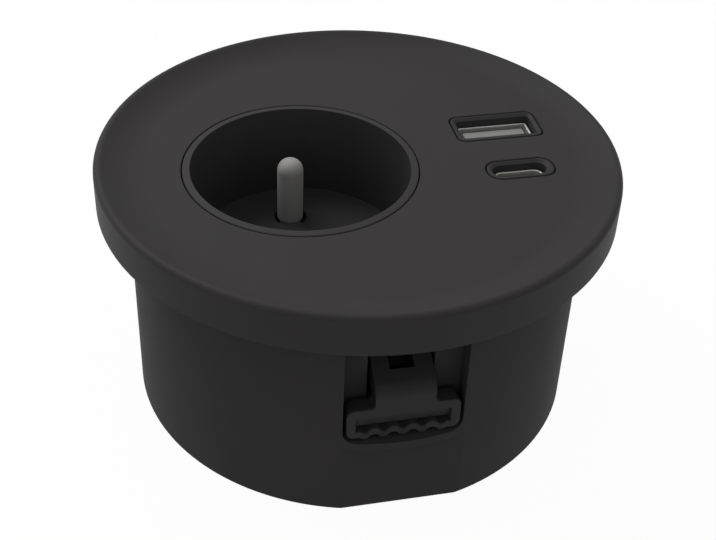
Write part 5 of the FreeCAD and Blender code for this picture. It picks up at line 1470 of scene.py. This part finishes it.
@dataclass
class Claws:
    """Swing-out claws: hinge knuckle, leaning neck with a window, and a bar with a wavy finger slot."""

    workshop: Workshop
    face: float = 38.5
    half_width: float = 9.5
    top: float = -16.7
    bottom: float = -22.8
    depth: float = 2.9
    corner: float = 1.4
    edge: float = 0.25
    grip_side: float = 1.6
    grip_above: float = 1.9
    grip_wall: float = 1.4
    grip_depth: float = 2.2
    grip_flare: float = 0.15
    grip_lead: float = 0.8
    grip_lean: float = 0.25
    grip_ledge: float = 2.28
    grip_foot: float = 0.55
    waves: int = 4
    wave_margin: float = 0.7
    wave_height: float = 0.45
    wave_steps: int = 8
    neck_half: float = 5.05
    neck_shift: float = 0.2
    neck_thickness: float = 4.0
    neck_root: float = 1.0
    neck_fillet: float = 0.8
    fillet_root: float = 0.6
    fillet_behind: float = 0.1
    fillet_below: float = 0.02
    bend_z: float = -13.3
    bend_radius: float = 3.0
    bend_steps: int = 10
    lean: float = 59.0
    window_half: float = 2.05
    window_face: float = 3.15
    window_root: float = 0.5
    window_low: float = -16.0
    knuckle_radius: float = 2.6
    knuckle_half: float = 5.3
    knuckle_edge: float = 0.2
    bore: float = 1.31
    bore_turn: int = 32
    bore_reach: float = 6.5

    def build(self) -> None:
        """Models the front claw, copies it to the back and dresses both."""
        front = self.claw("claw_front")
        rear = copy_of(front, "claw_rear", Matrix.Rotation(math.pi, 4, "Z"))
        self.workshop.dress(front, "claw_plastic", "front_claw", "front_claw")
        self.workshop.dress(rear, "claw_plastic", "rear_claw", "rear_claw")

    def wavy(self, level: float) -> Outline:
        """Draws the wavy line from left to right: bumps down, with dents up between them.

        Args:
            level: Height of the line's middle.

        Returns:
            Its points.
        """
        count = self.waves * 2 + 1
        half_pitch = (self.half_width - self.grip_side - self.wave_margin) * 2 / count
        height = self.wave_height
        radius = (half_pitch ** 2 / 4 + height ** 2) / (height * 2)
        spread = math.degrees(math.asin(half_pitch / 2 / radius))
        points: Outline = []
        for step in range(count):
            middle, down = half_pitch * (step + 0.5 - count / 2), 1 if step % 2 == 0 else -1
            centre, start = (middle, level + (radius - height) * down), 180 + 90 * down
            points += arc(centre, radius, start - spread * down, start + spread * down, self.wave_steps)[:-1]
        return points + [(half_pitch * count / 2, level)]

    def bar(self, name: str) -> bpy.types.Object:
        """Models the claw's bar, with its wavy lower edge and its front edges rounded.

        Args:
            name: Name of the piece.

        Returns:
            The bar.
        """
        half, corner, low, high = self.half_width, self.corner, self.bottom, self.top
        outline = [
            *arc((-half + corner, low + corner), corner, 180, 270, CORNER_STEPS), *self.wavy(low),
            *arc((half - corner, low + corner), corner, 270, 360, CORNER_STEPS),
            *arc((half - corner, high - corner), corner, 0, 90, CORNER_STEPS),
            *arc((-half + corner, high - corner), corner, 90, 180, CORNER_STEPS),
        ]
        return grow(name, outline, Plane.FRONT, self.depth - self.face,
                    [(0, self.edge - self.depth), *rounding(self.edge, -1)])

    def arm(self) -> bpy.types.Object:
        """Models the neck, which leans from the bar's face to the hinge.

        Returns:
            The neck.
        """
        lean, thick, face = math.radians(self.lean), self.neck_thickness / 2, self.face
        hinge_y, hinge_z, root = -SIZES.hinge_y, SIZES.hinge_z, self.top - self.neck_root
        bend, back = self.bend_radius, face - self.depth
        reach = math.tan(lean / 2) * bend
        under_y, under_z = hinge_y + thick * math.cos(lean), hinge_z - thick * math.sin(lean)
        drop = (back + under_y) / math.sin(lean)
        outline = [
            (-back, root), (-face, root),
            *arc((-face + bend, self.bend_z - reach), bend, 180, 180 - self.lean, self.bend_steps),
            (hinge_y - thick * math.cos(lean), hinge_z + thick * math.sin(lean)), (under_y, under_z),
            (-back, under_z - drop * math.cos(lean)),
        ]
        edge, half = self.edge, self.neck_half
        return grow("arm", outline, Plane.SIDE, self.neck_shift - half,
                    [(0, half), (0, half - edge), (edge, edge)])

    def fillet(self, side: int) -> bpy.types.Object:
        """Models the fillet where the neck's flank meets the bar's top.

        Args:
            side: 1 on the right and -1 on the left.

        Returns:
            The fillet.
        """
        neck, high, radius, root = self.neck_half, self.top, self.neck_fillet, self.fillet_root
        curve = arc((neck + radius, high + radius), radius, 180, 270, CORNER_STEPS)
        corner = [(neck - root, high + radius), *curve, (neck + radius, high - root),
                  (neck - root, high - root)]
        placed = [(x * side + self.neck_shift, z) for x, z in corner]
        behind = self.fillet_behind
        return grow("fillet", placed, Plane.FRONT, self.depth - self.face - behind,
                    [(0, self.edge + behind + self.fillet_below - self.depth), *rounding(self.edge, -1)])

    def claw(self, name: str) -> bpy.types.Object:
        """Models the front claw.

        Args:
            name: Name of the piece.

        Returns:
            The claw.
        """
        claw, edge, flare, half = self.bar(name), self.knuckle_edge, self.grip_flare, self.window_half
        hinge = (-SIZES.hinge_y, SIZES.hinge_z)
        combine(claw, Joining.ADD, self.arm(), grow(
            "knuckle", circle(*hinge, self.knuckle_radius, MIDDLE_TURN // 2), Plane.SIDE,
            edge - self.knuckle_half, [(0, self.knuckle_half * 2 - edge * 2), (edge, edge)]))
        for side in (1, -1):
            combine(claw, Joining.ADD, self.fillet(side))
        grip = self.half_width - self.grip_side + flare
        low, high = self.bottom + self.grip_wall - flare, self.top - self.grip_above + flare
        slot = grow("slot", [(-grip, low), *self.wavy(low), (grip, low), (grip, high), (-grip, high)],
                    Plane.FRONT, -self.face - BEYOND,
                    [(0, BEYOND), (flare, flare), (0, self.grip_depth - flare)])
        outer, inner = self.face - self.window_face, SIZES.hinge_y + self.knuckle_radius + self.window_root
        window = grow("window", box(-half, half, -outer, -inner), Plane.TOP, self.window_low,
                      [(0, -self.window_low)])
        bore = grow("bore", circle(*hinge, self.bore, self.bore_turn), Plane.SIDE, -self.bore_reach,
                    [(0, self.bore_reach * 2)])
        combine(claw, Joining.CUT, slot, window, bore)
        return combine(claw, Joining.ADD, self.slot_wall())

    def slot_wall(self) -> bpy.types.Object:
        """Models the wall in the finger slot: shallow and upright above, and deep behind the wavy wall.

        Returns:
            The wall.
        """
        lead, back = self.grip_lead - self.face, self.grip_depth - self.face
        foot, high = self.bottom + self.grip_wall + self.grip_foot, self.top - self.grip_above
        reach = self.half_width - self.grip_side + BEYOND
        return grow("slot_wall", [
            (lead, high), (lead + self.grip_lean, high - self.grip_ledge), (back, foot),
            (back + BEYOND, foot), (back + BEYOND, high + BEYOND), (lead, high + BEYOND),
        ], Plane.SIDE, -reach, [(0, reach * 2)])


@dataclass
class InnerParts:
    """The CAD nodes that stay as they are; each gets the finish of its slot."""

    workshop: Workshop
    slots: dict[str, str] = field(default_factory=lambda: {
        "contact_carrier": "carrier_plastic", "socket_shutter": "shutter_plastic",
        "shutter_spring": "spring_steel", "live_contact": "contact_brass",
        "neutral_contact": "contact_brass", "earth_strap": "contact_brass",
        "terminal_screws": "screw_steel", "insert_screws": "screw_steel",
        "carrier_screws": "screw_steel", "module_screws": "screw_steel", "clamp_screws": "screw_steel",
        "charger_board": "board_laminate", "transformer_core": "core_ferrite",
        "transformer_coil": "coil_tape", "filter_capacitors": "capacitor_sleeve",
        "cord_clamp": "claw_plastic", "front_claw_pin": "screw_steel", "rear_claw_pin": "screw_steel",
        "front_claw_spring": "spring_steel", "rear_claw_spring": "spring_steel",
    })

    def build(self, nodes: dict[str, bpy.types.Object]) -> None:
        """Dresses the nodes.

        Args:
            nodes: Every CAD node by name.
        """
        for name, slot in self.slots.items():
            self.workshop.redress(nodes[name], slot)


@dataclass(frozen=True)
class SoftBox:
    """A large, plain lamp that looks at the grommet."""

    name: str
    place: tuple[float, float, float]
    size: float
    power: float

    def build(self, target: Vector) -> None:
        """Hangs the lamp.

        Args:
            target: What it looks at, in metres.
        """
        lamp = bpy.data.lights.new(self.name, "AREA")
        lamp.shape, lamp.size, lamp.energy = "DISK", self.size, self.power
        holder = bpy.data.objects.new(self.name, lamp)
        bpy.context.scene.collection.objects.link(holder)
        holder.location = self.place
        holder.rotation_mode = "QUATERNION"
        holder.rotation_quaternion = (target - holder.location).to_track_quat("-Z", "Y")


@dataclass
class Studio:
    """White floor, soft light and the photograph's camera."""

    floor_height: float = -0.0389
    floor_size: float = 8.0
    floor_colour: str = "#a0a0a0"
    floor_evenness: float = 0.5
    floor_fill: float = 0.36
    shown_colour: str = "#fafafa"
    glow: float = 0.96
    sky: float = 0.5
    lamps: tuple[SoftBox, ...] = (
        SoftBox("soft_box_far_left", (-0.42, 0.62, 0.95), 0.9, 7.6),
    )
    camera_place: tuple[float, float, float] = (-0.0449133, -0.1872653, 0.129349)
    camera_target: tuple[float, float, float] = (-0.005056, -0.02358, 0.0)
    camera_roll: float = 2.4003
    camera_lens: float = 66.715
    camera_sensor: float = 36.0
    camera_near: float = 0.01
    camera_far: float = 50.0

    def build(self) -> None:
        """Sets up the floor, the light and the camera."""
        self.add_floor()
        self.add_sky()
        for lamp in self.lamps:
            lamp.build(Vector((0, 0, 0)))
        self.add_camera()
        bpy.context.scene.view_settings.view_transform = "Standard"

    def seen_directly(self, tree: bpy.types.NodeTree) -> bpy.types.NodeSocket:
        """Tells the rays that see the white background from those that light the grommet.

        Args:
            tree: The tree that the nodes join.

        Returns:
            A socket that is one for camera, mirror and glass rays.
        """
        rays = add_node(tree, "ShaderNodeLightPath")
        shiny = add_node(tree, "ShaderNodeMath", {
            0: rays.outputs["Is Glossy Ray"], 1: rays.outputs["Is Transmission Ray"]}, operation="MAXIMUM")
        seen = add_node(tree, "ShaderNodeMath", {
            0: rays.outputs["Is Camera Ray"], 1: shiny.outputs["Value"]}, operation="MAXIMUM")
        return seen.outputs["Value"]

    def add_floor(self) -> None:
        """Lays the floor: pale to the light, and white with a faint shadow to the eye."""
        pick()
        bpy.ops.mesh.primitive_plane_add(size=self.floor_size, location=(0, 0, self.floor_height))
        floor = bpy.context.object
        floor.name = floor.data.name = "studio_floor"
        bpy.ops.object.transform_apply(location=True, rotation=True, scale=True)
        material, tree, output = new_material("paper_floor")
        paper = add_node(tree, "ShaderNodeBsdfDiffuse", {"Color": linear(self.floor_colour)})
        even = add_node(tree, "ShaderNodeEmission", {"Color": (1, 1, 1, 1), "Strength": self.floor_fill})
        plain = add_node(tree, "ShaderNodeMixShader", {
            0: self.floor_evenness, 1: paper.outputs["BSDF"], 2: even.outputs["Emission"]})
        white = add_node(tree, "ShaderNodeBsdfDiffuse", {"Color": linear(self.shown_colour)})
        glow = add_node(tree, "ShaderNodeEmission", {"Color": (1, 1, 1, 1), "Strength": 1.0})
        shown = add_node(tree, "ShaderNodeMixShader", {
            0: self.glow, 1: white.outputs["BSDF"], 2: glow.outputs["Emission"]})
        mixed = add_node(tree, "ShaderNodeMixShader", {
            0: self.seen_directly(tree), 1: plain.outputs["Shader"], 2: shown.outputs["Shader"]})
        tree.links.new(mixed.outputs["Shader"], output.inputs["Surface"])
        floor.data.materials.append(material)

    def add_sky(self) -> None:
        """Fills the surroundings with plain light that the camera sees as white."""
        world = bpy.data.worlds.new("studio_air")
        bpy.context.scene.world = world
        world.use_nodes = True
        tree = world.node_tree
        tree.nodes.clear()
        rays = add_node(tree, "ShaderNodeLightPath")
        plain = add_node(tree, "ShaderNodeBackground", {"Color": (1, 1, 1, 1), "Strength": self.sky})
        white = add_node(tree, "ShaderNodeBackground", {"Color": (1, 1, 1, 1), "Strength": 1.0})
        mixed = add_node(tree, "ShaderNodeMixShader", {
            0: rays.outputs["Is Camera Ray"], 1: plain.outputs["Background"],
            2: white.outputs["Background"]})
        output = add_node(tree, "ShaderNodeOutputWorld")
        tree.links.new(mixed.outputs["Shader"], output.inputs["Surface"])

    def add_camera(self) -> None:
        """Stands the camera where the photograph was taken from."""
        lens = bpy.data.cameras.new("photo_camera")
        lens.lens, lens.sensor_width, lens.sensor_fit = self.camera_lens, self.camera_sensor, "HORIZONTAL"
        lens.clip_start, lens.clip_end = self.camera_near, self.camera_far
        camera = bpy.data.objects.new("photo_camera", lens)
        bpy.context.scene.collection.objects.link(camera)
        place, target = Vector(self.camera_place), Vector(self.camera_target)
        ahead = (target - place).normalized()
        level = ahead.cross(Vector((0, 0, 1))).normalized()
        roll = math.radians(self.camera_roll)
        right = level * math.cos(roll) + level.cross(ahead) * math.sin(roll)
        up = right.cross(ahead)
        turned = Matrix((right, up, -ahead)).transposed()
        camera.matrix_world = Matrix.Translation(place) @ turned.to_4x4()
        bpy.context.scene.camera = camera


def main() -> None:
    """Builds the grommet piece by piece and sets up the studio."""
    logging.basicConfig(level=logging.INFO, format="%(message)s")
    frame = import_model()
    workshop = Workshop()
    Studio().build()
    TopCover(workshop).build()
    SocketWell(workshop).build()
    ChargingPorts(workshop).build()
    BodyShell(workshop).build()
    Claws(workshop).build()
    InnerParts(workshop).build(frame["nodes"])


if __name__ == "__main__":
    main()
